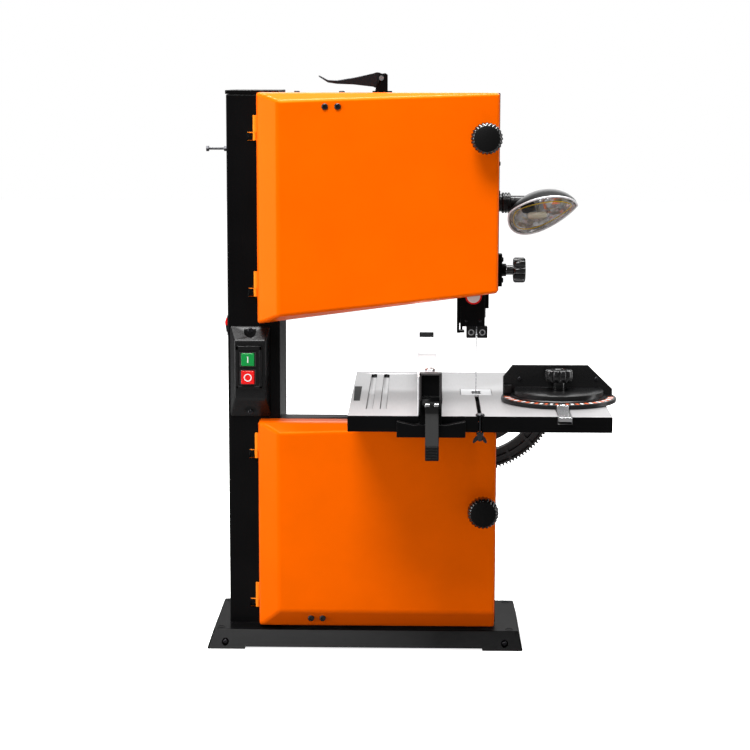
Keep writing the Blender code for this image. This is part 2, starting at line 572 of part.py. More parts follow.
def build_table():
    x0, x1, y0, y1 = TABLE
    wall = 6.0
    table = box("table", (x0, x1), (y0, y1), (TABLE_Z - APRON, TABLE_Z), CAST)
    under = TABLE_Z - TABLE_PLATE
    cut(table, box("under_left", (x0 + wall, 85), (y0 + wall, y1 - wall), (290, under), tool=True),
        box("under_right", (113, x1 - wall), (y0 + wall, y1 - wall), (290, under), tool=True),
        box("under_slot", (84, 114), (y0 + wall, y1 - wall), (290, TABLE_Z - 14), tool=True),
        box("miter_slot", (SLOT_X - SLOT_HALF, SLOT_X + SLOT_HALF), (y0 - 5, y1 + 5),
            (TABLE_Z - SLOT_DEPTH, TABLE_Z + 5), tool=True),
        box("insert_rebate", (-19.2, 19.6), (-25.4, 22.8), (TABLE_Z - 3, TABLE_Z + 5), tool=True),
        box("insert_way", (-13, 13), (-20, 17), (TABLE_Z - 12, TABLE_Z + 2), tool=True),
        box("blade_slit", (-2.0, 2.2), (y0 - 5, -24), (290, TABLE_Z + 5), tool=True))
    groove_floor = TABLE_Z - 3.5
    for i, (left, right) in enumerate(((-134.0, -126.5), (-117.5, -110.0))):
        middle = (left + right) / 2
        cut(table, box(f"groove_{i}", (left, right), GROOVE, (groove_floor, TABLE_Z + 5), tool=True),
            rod(f"groove_end_{i}", (middle, GROOVE[1], 0), "Z", groove_floor, TABLE_Z + 5, (right - left) / 2,
                seg=20, tool=True))
    insert = box("table_insert", (-18.9, 19.3), (-25.1, 22.5), (TABLE_Z - 2.7, TABLE_Z - 0.1), ALLOY)
    cut(insert, box("insert_slot", (-5.2, 5.6), (-16.6, 9.0), (310, 330), tool=True))
    screw_y = y0 + 3.2
    screw = rod("table_wing_screw", (0.1, screw_y, 0), "Z", TABLE_Z + GAP, TABLE_Z + 3, 5.4, STEEL, 20)
    join(screw, rod("wing_stem", (0.1, screw_y, 0), "Z", 288, TABLE_Z + 1, 1.6, STEEL, 12),
         rod("wing_hub", (0.1, screw_y, 0), "Z", 287.0, TABLE_Z - APRON - GAP, 4.5, STEEL, 16),
         block("wings", (-8, 8.4, screw_y - 1.2, screw_y + 1.2), (-4.6, 4.8, screw_y - 1.2, screw_y + 1.2),
               287.6, 296.0, STEEL))
    build_tilt(table, insert)
    pivot("wing_axis", (0.1, screw_y, 300), screw)


def build_tilt(table, insert):
    centre = (0, TABLE_Z)
    pitch = 360 / ARC_TEETH
    teeth = toothed(centre, ARC_TEETH, ARC_MODULE, PINION_ANGLE, -22, 36)
    top = TABLE_Z - TABLE_PLATE - GAP
    outline = teeth + [(101, 305.4), (83.5, 305.4), (83.5, top), (-80, top)]
    tilt_arc = plate("tilt_arc", [outline, sector(centre, 71.0, 83.5, -142, -16, 24)], "Y", ARC_Y0, ARC_Y1, BLACK)
    reach = ARC_TEETH * ARC_MODULE / 2 + PINION_TEETH * ARC_MODULE / 2 + 0.5
    angle = math.radians(PINION_ANGLE)
    at = (reach * math.cos(angle), TABLE_Z + reach * math.sin(angle))
    phase = PINION_ANGLE + 180 + 180 / PINION_TEETH
    pinion = plate("tilt_pinion", [toothed(at, PINION_TEETH, ARC_MODULE, phase, 0, PINION_TEETH)], "Y",
                   ARC_Y0 + 1, ARC_Y1 - 1, STEEL)
    middle = (at[0], 0, at[1])
    join(pinion, rod("pinion_shaft", middle, "Y", 23, 66, 4.0, STEEL, 16),
         rod("tilt_grip", middle, "Y", 54, 68, 15.0, STEEL, 24))
    front = box("arc_support", (-58, 22), (HOUSING_BACK + GAP, 27.6), (186, 284), BLACK)
    join(front, box("support_back", (-58, 22), (46.4, 51), (186, 264), BLACK),
         box("support_foot", (-58, 22), (24, 50), (180, 188), BLACK))
    lock_angle = math.radians(-112)
    lock_at = (77.2 * math.cos(lock_angle), 0, TABLE_Z + 77.2 * math.sin(lock_angle))
    cut(front, rod("shaft_way", middle, "Y", 20, 60, 4.4, seg=20, tool=True),
        rod("lock_way", lock_at, "Y", 20, 60, 4.0, seg=20, tool=True))
    lock = rod("tilt_lock", lock_at, "Y", 23, 60, 3.6, PLASTIC, 16)
    join(lock, rod("lock_head", lock_at, "Y", 51.4, 62, 9.0, PLASTIC, 20),
         block("lock_arm", (54, 61, lock_at[2] - 3.5, lock_at[2] + 3.5), (52, 61, lock_at[2] - 5, lock_at[2] + 5),
               lock_at[0] - 44, lock_at[0] - 3, PLASTIC, axis="X"))
    pivot("tilt_axis", (0, 0, TABLE_Z), table, insert, tilt_arc)
    pivot("pinion_axis", middle, pinion)
    pivot("tilt_lock_axis", lock_at, lock)


def build_fence():
    left, right = FENCE
    y0, y1 = TABLE[2], TABLE[3]
    bar = box("fence_bar", (left, right), (y0 + 0.6, y1 + 1), (TABLE_Z + 0.6, FENCE_TOP), ALLOY)
    cut(bar, box("bar_bore", (left + 2.5, right - 2.5), (y0 - 9, y1 + 9), (TABLE_Z + 3.1, FENCE_TOP - 2.5), tool=True))
    tail = box("fence_tail", (left + 2, right - 2), (y1 + 1 + GAP, y1 + 7), (304, FENCE_TOP + 6), PLASTIC)
    head_left, head_right = left + 2, right + 5.3
    head = box("fence_head", (head_left, head_right), (y0 - 9, y0 - GAP), (TABLE_Z - 10, FENCE_TOP + 5), BLACK)
    cut(head, box("head_panel", (head_left + 3, head_right - 3), (y0 - 20, y0 - 5), (344, 369), tool=True))
    dip, end_top, bottom = 310.7, 315.7, 296.7
    wings = [(-97, end_top), (-78, dip + 0.6), (-40, dip + 0.6), (-17, end_top), (-17, bottom), (-97, bottom)]
    cross = plate("cross_bar", [wings], "Y", y0 - 13, y0 - 1.5, BLACK)
    pin_y, pin_z = y0 - 14.5, 334.5
    ears = [box(f"head_ear_{i}", (x, x + 2.5), (y0 - 20, y0 - 6), (324, 341), BLACK)
            for i, x in enumerate((head_left + 0.2, head_right - 2.7))]
    pin = rod("head_pin", (0, pin_y, pin_z), "X", head_left + 1, head_right - 1, 2.6, BLACK, 16)
    join(head, cross, *ears, pin)
    side = arc((pin_y, pin_z), 5.0, 180, 0, 9) + [(pin_y + 4.4, 329), (y0 - 19, 318), (-231.8, 291), (-235.6, 277.5),
                                                  (-242.6, 277.5), (-239.5, 294), (pin_y - 7.5, 326)]
    lever = plate("fence_lever", [side], "X", -64.0, -48.2, PLASTIC)
    cut(lever, rod("lever_way", (0, pin_y, pin_z), "X", -80, -40, 3.0, seg=20, tool=True))
    pivot("fence_slide", (FENCE_MID, y0, TABLE_Z), bar, tail, head)
    pivot("fence_lever_axis", (FENCE_MID, pin_y, pin_z), lever)


def build_miter():
    x, y = MITER_X, MITER_Y
    top = TABLE_Z - 0.2
    bar = box("miter_bar", (x - 7.8, x + 7.8), (TABLE[2] - 4.7, 62), (top - 4.9, top), STEEL)
    join(bar, rod("miter_stud", (x, y, 0), "Z", top - 2, 352, 3.0, STEEL, 16))
    scale_half = arc((x, y), 70, 180, 360, 37) + [(x + 67, y + 20), (x - 67, y + 20)]
    head = plate("miter_head", [scale_half], "Z", TABLE_Z + 0.5, 325.4, PLASTIC)
    disc = rod("miter_disc", (x, y, 0), "Z", 325, 333.5, 54.5, PLASTIC, 40)
    face = [(32, 321), (166, 321), (166, 332), (136, 361), (43.5, 361), (32, 346.5)]
    join(head, disc, plate("miter_plate", [face], "Y", y + 17.6, y + 22.6, PLASTIC))
    cut(head, rod("miter_way", (x, y, 0), "Z", 310, 345, 3.4, seg=20, tool=True))
    knob = rod("miter_knob", (x, y, 0), "Z", 343.5, 358, 17.0, PLASTIC, 32)
    join(knob, rod("miter_neck", (x, y, 0), "Z", 333.5 + GAP, 344, 8.0, PLASTIC, 24))
    cut(knob, rod("stud_way", (x, y, 0), "Z", 330, 353, 3.3, seg=16, tool=True))
    pivot("miter_slide", (x, y, top), bar)
    pivot("miter_axis", (x, y, 325), head)
    pivot("miter_knob_axis", (x, y, 345), knob)


def build_switches():
    back = COLUMN[2] - GAP
    case = block("switch_box", (-300.9, -261.7, 312.8, 386.0), (-307.9, -256.2, 288.0, 404.0), -26.0, back, PLASTIC, axis="Y")
    join(case, box("switch_frame", (-298.6, -266.5), (-28.2, -25), (328.2, 379.6), PLASTIC))
    for i, z in enumerate((398.5, 294.4)):
        cut(case, rod(f"screw_well_{i}", (-281.6, 0, z), "Y", -40, -13.5, 5.6, seg=20, tool=True))
    for name, x, z, front, mat in (("start_button", (-291.7, -275.4), (355.3, 371.3), -31.5, GREEN),
                                   ("stop_button", (-291.7, -275.4), (333.0, 349.5), -33.5, RED)):
        cut(case, box(f"{name}_well", (x[0] - GAP, x[1] + GAP), (-40, -19.5), (z[0] - GAP, z[1] + GAP), tool=True))
        button = box(name, x, (front, -23.2), z, mat)
        pivot(f"{name}_slide", (sum(x) / 2, front, sum(z) / 2), button)
    rocker = plate("rocker_switch", [[(COLUMN[0] - GAP - 1, 394), (COLUMN[0] - 1.6, 412), (COLUMN[0] - 2.6, 412),
                                      (COLUMN[0] - 4.4, 406.5), (COLUMN[0] - 2.6, 394)]], "Y", 0, 15, RED)
    pivot("rocker_axis", (COLUMN[0] - 1.4, 7.5, 403), rocker)


def almond(name, centre, half, depth, bulge, mat):
    """Half a lopsided egg on a flat side; half is its half length, then its reach down and up across it."""
    shape = bmesh.new()
    bmesh.ops.create_uvsphere(shape, u_segments=20, v_segments=10, radius=1.0)
    bmesh.ops.bisect_plane(shape, geom=shape.verts[:] + shape.edges[:] + shape.faces[:], plane_co=(0, 0, 0),
                           plane_no=(0, 0, -1), clear_outer=True)
    bmesh.ops.holes_fill(shape, edges=[e for e in shape.edges if e.is_boundary])
    for vert in shape.verts:
        taper = max(0.0, 1 - vert.co.x ** 2) ** 0.2
        across = vert.co.y * taper
        reach, lean = (half[1], LAMP_LEAN[0]) if across > 0 else (half[2], LAMP_LEAN[1])
        vert.co = (vert.co.x * half[0] + abs(across) * lean, across * reach, vert.co.z * depth * taper * bulge)
    bmesh.ops.remove_doubles(shape, verts=shape.verts, dist=0.001)
    bmesh.ops.transform(shape, matrix=lamp_turn(), verts=shape.verts)
    bmesh.ops.recalc_face_normals(shape, faces=shape.faces)
    return from_bmesh(name, shape, mat, centre)


def lamp_turn():
    tilt = Matrix.Rotation(math.radians(LAMP_TILT), 4, "X")
    return Matrix.Rotation(math.radians(LAMP_ROLL), 4, "Y") @ tilt


def build_lamp():
    axis_y, axis_z, collar_end = 12.0, 556.0, 41.5
    mount = rod("lamp_mount", (0, axis_y, axis_z), "X", HOUSING_RIGHT + GAP, 34, 11.0, BLACK, 24)
    join(mount, rod("lamp_collar", (0, axis_y, axis_z), "X", 33.5, collar_end, 13.0, BLACK, 24))
    centre = Vector((80.5, -17.0, 550.0))
    wall, lens_gap = 2.6, 0.4
    half = (42.5, 35.0, 18.0)
    inner = tuple(size - wall for size in half)
    out = -(lamp_turn() @ Vector((0, 0, 1)))
    head = almond("lamp_head", centre, half, 35.0, 1, BLACK)
    hollow = almond("lamp_hollow", centre + out * lens_gap, inner, 35.0 - wall, 1, BLACK)
    PARTS.objects.unlink(hollow)
    TOOLS.objects.link(hollow)
    hollow.hide_render = True
    hollow.display_type = "WIRE"
    join(head, rod("lamp_neck", (0, axis_y, axis_z), "X", collar_end + GAP, 74, 9.0, BLACK, 16))
    cut(head, hollow)
    cover = tuple(size - 1.0 for size in half)
    lens = almond("lamp_lens", centre + out * lens_gap, cover, 6.0, -1, GLASS)
    pivot("lamp_axis", (54, axis_y, axis_z), head, lens)


def build_storage_bolt():
    """A hex bolt kept in the side of the column."""
    z, side = 622.3, COLUMN[0] - GAP
    bolt = rod("storage_bolt", (0, 4, z), "X", -336.0, -332.6, 3.8, STEEL, 6)
    join(bolt, rod("bolt_shank", (0, 4, z), "X", -333, side, 1.5, STEEL, 12),
         rod("bolt_nut", (0, 4, z), "X", -313.8, side, 3.6, STEEL, 6))


def put_origin_under_middle():
    for obj in list(PARTS.objects) + list(TOOLS.objects):
        if obj.parent is None:
            obj.location -= Vector((*MIDDLE, 0)) * MM


def smooth_round_pieces():
    for obj in PARTS.objects:
        if obj.type == "MESH":
            obj.data.shade_smooth()
            obj.data.set_sharp_from_angle(angle=math.radians(35))


def main():
    build_base()
    column = build_column()
    build_housings()
    build_doors(column)
    build_running_gear()
    build_tension_lever()
    build_guides()
    build_table()
    build_fence()
    build_miter()
    build_switches()
    build_lamp()
    build_storage_bolt()
    smooth_round_pieces()
    put_origin_under_middle()


main()
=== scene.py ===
"""The looks of the band saw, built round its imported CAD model.

Sizes and places below are in millimetres from the floor point under the blade: X to the right along
the table, Y away from the operator and Z up. spot() turns them into the frame's metres.
"""
import json
import math

import bmesh
import bpy
from mathutils import Matrix, Vector


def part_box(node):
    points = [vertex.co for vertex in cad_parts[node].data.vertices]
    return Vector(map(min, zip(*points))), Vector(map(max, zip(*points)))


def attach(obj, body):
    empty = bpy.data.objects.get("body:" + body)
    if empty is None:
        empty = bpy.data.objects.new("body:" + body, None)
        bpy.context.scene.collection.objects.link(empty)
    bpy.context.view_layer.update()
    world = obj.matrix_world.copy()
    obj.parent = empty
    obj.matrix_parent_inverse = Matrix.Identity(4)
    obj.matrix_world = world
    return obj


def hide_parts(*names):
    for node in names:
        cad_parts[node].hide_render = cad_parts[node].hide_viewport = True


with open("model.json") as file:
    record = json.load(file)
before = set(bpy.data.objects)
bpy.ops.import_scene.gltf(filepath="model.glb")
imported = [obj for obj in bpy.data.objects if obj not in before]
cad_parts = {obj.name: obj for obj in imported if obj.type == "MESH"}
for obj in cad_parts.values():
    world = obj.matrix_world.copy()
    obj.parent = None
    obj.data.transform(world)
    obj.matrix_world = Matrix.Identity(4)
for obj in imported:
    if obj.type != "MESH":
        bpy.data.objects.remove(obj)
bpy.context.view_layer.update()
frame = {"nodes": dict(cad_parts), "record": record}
MM = 0.001
NODES = frame["nodes"]
BODY_OF = {node: body for body, nodes in frame["record"]["behaviour"]["bodies"].items() for node in nodes}
SLOT_OF = {part["node"]: part["material_slot"] for part in frame["record"]["subparts"]}

# The blade's cutting run is the zero of X and Y; half its thickness lies outside it
blade_low, blade_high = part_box("blade")
BLADE_HALF_THICK = 0.3
ZERO = Vector((blade_high.x - BLADE_HALF_THICK * MM, (blade_low.y + blade_high.y) / 2, 0))

# Camera, found from the object's own corners: place, then degrees of turn to the left, down and roll
CAMERA_AT = (-71.1, -2515.6, 713.8)
CAMERA_TURN, CAMERA_DOWN, CAMERA_ROLL = 1.261, 8.438, 0.123
CAMERA_LENS = 97.36

# Main sizes of the machine
COLUMN_LEFT, COLUMN_RIGHT, COLUMN_FRONT = -310.0, -245.0, -10.0
# The switch case's front and back outlines: left, right, bottom, top
SWITCH_FRONT, SWITCH_BACK = (-300.9, -261.7, 312.8, 386.0), (-307.9, -256.2, 288.0, 404.0)
SWITCH_X = -281.6
BUTTON_WELLS = ((355.0, 371.6), (332.7, 349.8))
BUTTON_COLLARS = ((354.4, 372.2), (332.0, 350.4))
DOOR_LEFT, DOOR_RIGHT = -271.0, 24.5
DOOR_BACK, DOOR_EDGE, DOOR_FACE = -10.6, -34.0, -48.0
DOOR_TOP = 691.6
UPPER_BOTTOM, UPPER_SLOPE = 408.4, 0.1333
UPPER_HINGES, LOWER_HINGES = ((440.5, 471.7), (633.1, 663.8)), ((44.6, 75.9), (236.6, 268.4))
LOWER_TOP, LOWER_BOTTOM = 286.5, 25.4
HINGE, HINGE_R = (-274.3, -13.0), 2.6
KNOB_X, UPPER_KNOB_Z, LOWER_KNOB_Z = 8.3, 637.8, 180.4
KNOB_FLUTES, KNOB_FLUTE_DEPTH = 24, 1.1
TABLE_Z, TABLE_FRONT = 320.0, -185.3
WHEEL_X, UPPER_WHEEL_Z, LOWER_WHEEL_Z = -125.0, 561.0, 158.0
BLADE_R = 125.0
TEETH_AN_INCH = 6
TRACKING_Z = 581.0
SPRING_AT, SPRING_R, SPRING_HEIGHT = (-119.4, 13.2, 610.0), 4.7, 72.0
LEVER_PIVOT_Z = 709.0
MOTOR_X, MOTOR_Z = -175.0, 97.0
JAW_Z = 395.8
GUARD_DISC = (-4.3, 0, 442.0)
APRON_BOTTOM = 290.0
FENCE_LEFT, FENCE_RIGHT, FENCE_HEAD_FRONT = -71.0, -44.7, -194.3
FENCE_NUT_AT = (-58.4, -150.0, 367.0)
MITER = (99.0, -66.0)
LOCK_Y, LOCK_Z = 15.5, 472.0
LAMP_AT, LAMP_TILT, LAMP_ROLL = (80.5, -17.0, 550.0), -60.0, -6.0
LAMP_LEAN = (-21.0, 8.0)
LAMP_HALF, LAMP_DEPTH = (42.4, 34.9, 17.9), 34.9
LAMP_AXIS = (0, 12.0, 556.0)


def spot(x, y, z):
    return ZERO + Vector((x, y, z)) * MM


# ---------------------------------------------------------------- materials

def node_material(name, roughness, metallic, specular=0.5, coat=0.0, coat_roughness=0.1, tint=(1, 1, 1)):
    made = bpy.data.materials.new(name)
    made.use_nodes = True
    shader = made.node_tree.nodes["Principled BSDF"]
    shader.inputs["Metallic"].default_value = metallic
    shader.inputs["Roughness"].default_value = roughness
    shader.inputs["Specular IOR Level"].default_value = specular
    shader.inputs["Coat Weight"].default_value = coat
    shader.inputs["Coat Roughness"].default_value = coat_roughness
    shader.inputs["Specular Tint"].default_value = (*tint, 1.0)
    return made, shader


def noise(tree, scale, detail=3.0, stretch=(1, 1, 1)):
    """Noise over the piece's own coordinates; scale is in cycles a metre."""
    place = tree.nodes.new("ShaderNodeTexCoord")
    mapping = tree.nodes.new("ShaderNodeMapping")
    mapping.inputs["Scale"].default_value = stretch
    texture = tree.nodes.new("ShaderNodeTexNoise")
    texture.inputs["Scale"].default_value = scale
    texture.inputs["Detail"].default_value = detail
    tree.links.new(place.outputs["Object"], mapping.inputs["Vector"])
    tree.links.new(mapping.outputs["Vector"], texture.inputs["Vector"])
    return texture.outputs["Fac"]


def surface(name, colour, roughness, metallic=0.0, mottle=0.06, mottle_scale=14.0, rough_spread=0.05,
            grain=900.0, bump=0.05, stretch=(1, 1, 1), **gloss):
    """A finish with drifting colour and roughness and a fine grain in relief."""
    made, shader = node_material(name, roughness, metallic, **gloss)
    tree = made.node_tree
    drift = noise(tree, mottle_scale)
    ramp = tree.nodes.new("ShaderNodeValToRGB")
    for stop, place, gain in zip(ramp.color_ramp.elements, (0.3, 0.7), (1 - mottle, 1 + mottle)):
        stop.position = place
        stop.color = (*[min(1.0, c * gain) for c in colour], 1.0)
    tree.links.new(drift, ramp.inputs["Fac"])
    tree.links.new(ramp.outputs["Color"], shader.inputs["Base Color"])
    fine = noise(tree, grain, 4.0, stretch)
    gloss_range = tree.nodes.new("ShaderNodeMapRange")
    gloss_range.inputs["To Min"].default_value = max(0.0, roughness - rough_spread)
    gloss_range.inputs["To Max"].default_value = roughness + rough_spread
    tree.links.new(fine, gloss_range.inputs["Value"])
    tree.links.new(gloss_range.outputs["Result"], shader.inputs["Roughness"])
    relief = tree.nodes.new("ShaderNodeBump")
    relief.inputs["Strength"].default_value = bump
    relief.inputs["Distance"].default_value = 0.0004
    tree.links.new(fine, relief.inputs["Height"])
    tree.links.new(relief.outputs["Normal"], shader.inputs["Normal"])
    return made


def clear_plastic():
    made, shader = node_material("clear_lens_finish", 0.04, 0.0)
    shader.inputs["Base Color"].default_value = (0.96, 0.97, 0.98, 1)
    shader.inputs["Transmission Weight"].default_value = 1.0
    shader.inputs["IOR"].default_value = 1.35
    tree = made.node_tree
    relief = tree.nodes.new("ShaderNodeBump")
    relief.inputs["Strength"].default_value = 0.03
    relief.inputs["Distance"].default_value = 0.0003
    tree.links.new(noise(tree, 120.0), relief.inputs["Height"])
    tree.links.new(relief.outputs["Normal"], shader.inputs["Normal"])
    return made


ORANGE_COLOUR = (0.95, 0.125, 0.0)
FINISH = {
    "orange_paint": surface("orange_powder_coat", ORANGE_COLOUR, 0.30, mottle=0.04, grain=700.0,
                            bump=0.10, specular=0.3, tint=(1.0, 0.42, 0.02)),
    "hinge_paint": surface("hinge_powder_coat", (0.92, 0.24, 0.01), 0.35, grain=700.0, bump=0.1,
                           tint=(1.0, 0.6, 0.1)),
    "black_paint": surface("black_powder_coat", (0.003, 0.003, 0.0032), 0.30, mottle=0.2, grain=1100.0,
                           bump=0.16, specular=0.06),
    "black_plastic": surface("black_moulded_plastic", (0.005, 0.005, 0.0053), 0.28, mottle=0.15,
                             grain=1600.0, bump=0.06, specular=0.3),
    "gloss_black": surface("polished_black_plastic", (0.004, 0.004, 0.0043), 0.14, mottle=0.1,
                           rough_spread=0.03, grain=1600.0, bump=0.02, specular=0.6),
    "matt_black": surface("matt_black_steel", (0.004, 0.004, 0.004), 0.6, mottle=0.1, bump=0.1,
                          specular=0.1),
    "grey_plastic": surface("grey_moulded_plastic", (0.035, 0.031, 0.032), 0.35, mottle=0.12,
                            grain=1500.0, bump=0.1),
    "machined_top": surface("ground_table", (0.27, 0.267, 0.27), 0.38, 0.3, mottle=0.03, grain=500.0,
                            bump=0.05, stretch=(1.0, 0.08, 1.0)),
    "table_insert": surface("brushed_insert", (0.70, 0.70, 0.71), 0.30, 0.8, mottle=0.05, grain=700.0,
                            bump=0.05, stretch=(0.1, 1.0, 1.0)),
    "aluminium": surface("satin_aluminium", (0.86, 0.85, 0.86), 0.38, 0.45, mottle=0.03, grain=800.0,
                         bump=0.04, stretch=(1.0, 0.05, 1.0)),
    "cast_alloy": surface("cast_alloy", (0.50, 0.51, 0.53), 0.45, 0.9, mottle=0.10, mottle_scale=40.0,
                          grain=500.0, bump=0.3),
    "bright_steel": surface("bright_zinc_steel", (0.66, 0.66, 0.67), 0.24, 1.0, mottle=0.06, grain=900.0,
                            bump=0.05),
    "blade_steel": surface("blade_strip_steel", (0.62, 0.63, 0.66), 0.22, 1.0, mottle=0.05, grain=900.0,
                           bump=0.03),
    "blued_steel": surface("blackened_steel", (0.022, 0.022, 0.025), 0.25, 0.6, mottle=0.2, grain=1400.0,
                           bump=0.05),
    "rubber": surface("black_rubber", (0.018, 0.018, 0.018), 0.72, mottle=0.2, grain=1300.0, bump=0.3),
    "green_plastic": surface("green_button_plastic", (0.0, 0.26, 0.045), 0.25, mottle=0.05, bump=0.03),
    "red_plastic": surface("red_button_plastic", (0.80, 0.004, 0.004), 0.25, mottle=0.05, bump=0.03),
    "white_mark": surface("white_marking", (0.85, 0.85, 0.85), 0.4, mottle=0.02, bump=0.03),
    "orange_mark": surface("orange_marking", (0.75, 0.12, 0.03), 0.4, mottle=0.02, bump=0.03),
    "chrome": surface("reflector_chrome", (0.88, 0.88, 0.88), 0.10, 0.75, mottle=0.02, rough_spread=0.02,
                      bump=0.02),
    "amber": surface("amber_strip", (0.85, 0.55, 0.01), 0.3, mottle=0.05, bump=0.02),
    "warm_glass": surface("frosted_bulb", (0.85, 0.80, 0.62), 0.22, mottle=0.05, bump=0.03),
    "clear_lens": clear_plastic(),
}


# ---------------------------------------------------------------- making pieces

def new_object(name, data, at=ZERO):
    """An object in the scene, in metres."""
    obj = bpy.data.objects.new(name, data)
    bpy.context.scene.collection.objects.link(obj)
    obj.location = at
    return obj


def mesh_in_metres(name, shape):
    """A mesh from a bmesh in millimetres, which is used up."""
    mesh = bpy.data.meshes.new(name)
    bmesh.ops.transform(shape, matrix=Matrix.Scale(MM, 4), verts=shape.verts)
    shape.to_mesh(mesh)
    shape.free()
    return mesh


def add_bevel(obj, width, segments=3, angle=28.0):
    rounded = obj.modifiers.new("edges", "BEVEL")
    rounded.width = width * MM
    rounded.segments = segments
    rounded.limit_method = "ANGLE"
    rounded.angle_limit = math.radians(angle)
    rounded.harden_normals = True
    return rounded


def smooth(mesh, angle=35.0):
    mesh.shade_smooth()
    mesh.set_sharp_from_angle(angle=math.radians(angle))


def piece(name, shape, finish, body, bevel=0.0, segments=3, crease=35.0):
    """An object from a bmesh in millimetres, riding on a body."""
    bmesh.ops.recalc_face_normals(shape, faces=shape.faces)
    mesh = mesh_in_metres(name, shape)
    smooth(mesh, crease)
    obj = new_object(name, mesh)
    mesh.materials.append(FINISH[finish])
    if bevel:
        add_bevel(obj, bevel, segments)
    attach(obj, body)
    return obj


def add_box(shape, x, y, z):
    """A block between the two values of each axis."""
    made = bmesh.ops.create_cube(shape, size=1.0)["verts"]
    for vert in made:
        vert.co = [span[1] if v > 0 else span[0] for v, span in zip(vert.co, (x, y, z))]
    return made


def add_frame(shape, x, y, z, side, bottom, top):
    """Four bars round an opening seen from the front; side, bottom and top are the bars' widths."""
    for span in ((x[0], x[0] + side), (x[1] - side, x[1])):
        add_box(shape, span, y, z)
    for span in ((z[0], z[0] + bottom), (z[1] - top, z[1])):
        add_box(shape, x, y, span)


TURNS = {"X": Matrix.Rotation(math.pi / 2, 4, "Y"), "Y": Matrix.Rotation(-math.pi / 2, 4, "X"),
         "Z": Matrix.Identity(4)}


def add_turned(shape, centre, axis, profile, count=48, waves=0, depth=0.0):
    """A solid of revolution through (radius, height) points, with scalloped sides where waves is given.

    A third value in a point is the share of the scallops' depth there.
    """
    place = Matrix.Translation(Vector(centre)) @ TURNS[axis]
    rows = []
    for point in profile:
        share = point[2] if len(point) > 2 else 0.0
        row = []
        for i in range(count):
            angle = 2 * math.pi * i / count
            dip = depth * share * (0.5 - 0.5 * math.cos(waves * angle)) ** 2 if waves else 0.0
            r = point[0] - dip
            row.append(shape.verts.new(place @ Vector((r * math.cos(angle), r * math.sin(angle), point[1]))))
        rows.append(row)
    for low, high in zip(rows, rows[1:]):
        for i in range(count):
            j = (i + 1) % count
            shape.faces.new((low[i], low[j], high[j], high[i]))
    for row in (rows[0], rows[-1]):
        shape.faces.new(row)


PLATE_ORDER = {"X": lambda u, v, w: (w, u, v),
               "Y": lambda u, v, w: (u, w, v),
               "Z": lambda u, v, w: (u, v, w)}


def add_washer(shape, centre, inner, outer, back, front, count):
    """A flat ring that faces the operator."""
    profile = [(inner, back), (outer, back), (outer, front), (inner, front), (inner, back)]
    add_turned(shape, centre, "Y", profile, count)


def add_plate(shape, outline, start, end, axis="Y"):
    """A closed outline of two values, pushed out from start to end along an axis."""
    order = PLATE_ORDER[axis]
    low = [shape.verts.new(order(u, v, start)) for u, v in outline]
    high = [shape.verts.new(order(u, v, end)) for u, v in outline]
    for i in range(len(low)):
        j = (i + 1) % len(low)
        shape.faces.new((low[i], low[j], high[j], high[i]))
    shape.faces.new(low)
    shape.faces.new(high)


def arc(centre, r, start, end, count):
    """Points on an arc, with angles in degrees."""
    angles = [math.radians(start + (end - start) * i / (count - 1)) for i in range(count)]
    return [(centre[0] + r * math.cos(a), centre[1] + r * math.sin(a)) for a in angles]


def finer(node, width, segments=3, shortest=4.0, finish=None, angle=28.0):
    """A copy of a CAD node with its long sharp edges rounded, which stands for the node."""
    shape = bmesh.new()
    shape.from_mesh(NODES[node].data)
    bmesh.ops.remove_doubles(shape, verts=shape.verts, dist=0.000002)
    bmesh.ops.dissolve_limit(shape, angle_limit=math.radians(1.0), verts=shape.verts, edges=shape.edges)
    weights = shape.edges.layers.float.new("bevel_weight_edge")
    for edge in shape.edges:
        sharp = len(edge.link_faces) == 2 and edge.calc_face_angle(0.0) > math.radians(angle)
        edge[weights] = 1.0 if sharp and edge.calc_length() > shortest * MM else 0.0
    mesh = bpy.data.meshes.new(node + "_finish")
    shape.to_mesh(mesh)
    shape.free()
    smooth(mesh)
    obj = new_object(node + "_finish", mesh, Vector())
    mesh.materials.clear()
    mesh.materials.append(FINISH[finish or SLOT_OF[node]])
    rounded = add_bevel(obj, width, segments)
    rounded.limit_method = "WEIGHT"
    rounded.use_clamp_overlap = False
    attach(obj, BODY_OF[node])
    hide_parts(node)
    return obj


def paint_faces(obj, finish, wanted):
    """Faces whose centre, in millimetres from the blade line, passes the test get another finish."""
    obj.data.materials.append(FINISH[finish])
    index = len(obj.data.materials) - 1
    for face in obj.data.polygons:
        centre = (obj.matrix_world @ face.center - ZERO) / MM
        if wanted(centre, face.normal):
            face.material_index = index


def screw(name, at, axis, way, body, r=4.0, finish="blued_steel"):
    """A socket-head screw: a domed head with a hexagonal hollow; way is the sign of its outward side."""
    shape = bmesh.new()
    height = 0.62 * r
    profile = [(r, 0.0), (r, height * 0.55), (r * 0.86, height * 0.9), (r * 0.6, height), (r * 0.5, height),
               (r * 0.46, height * 0.35)]
    add_turned(shape, (0, 0, 0), "Z", profile, 24)
    turn = TURNS[axis] if way > 0 else TURNS[axis] @ Matrix.Rotation(math.pi, 4, "X")
    bmesh.ops.transform(shape, matrix=Matrix.Translation(Vector(at)) @ turn, verts=shape.verts)
    return piece(name, shape, finish, body, crease=50)


# ---------------------------------------------------------------- frame, housings and column

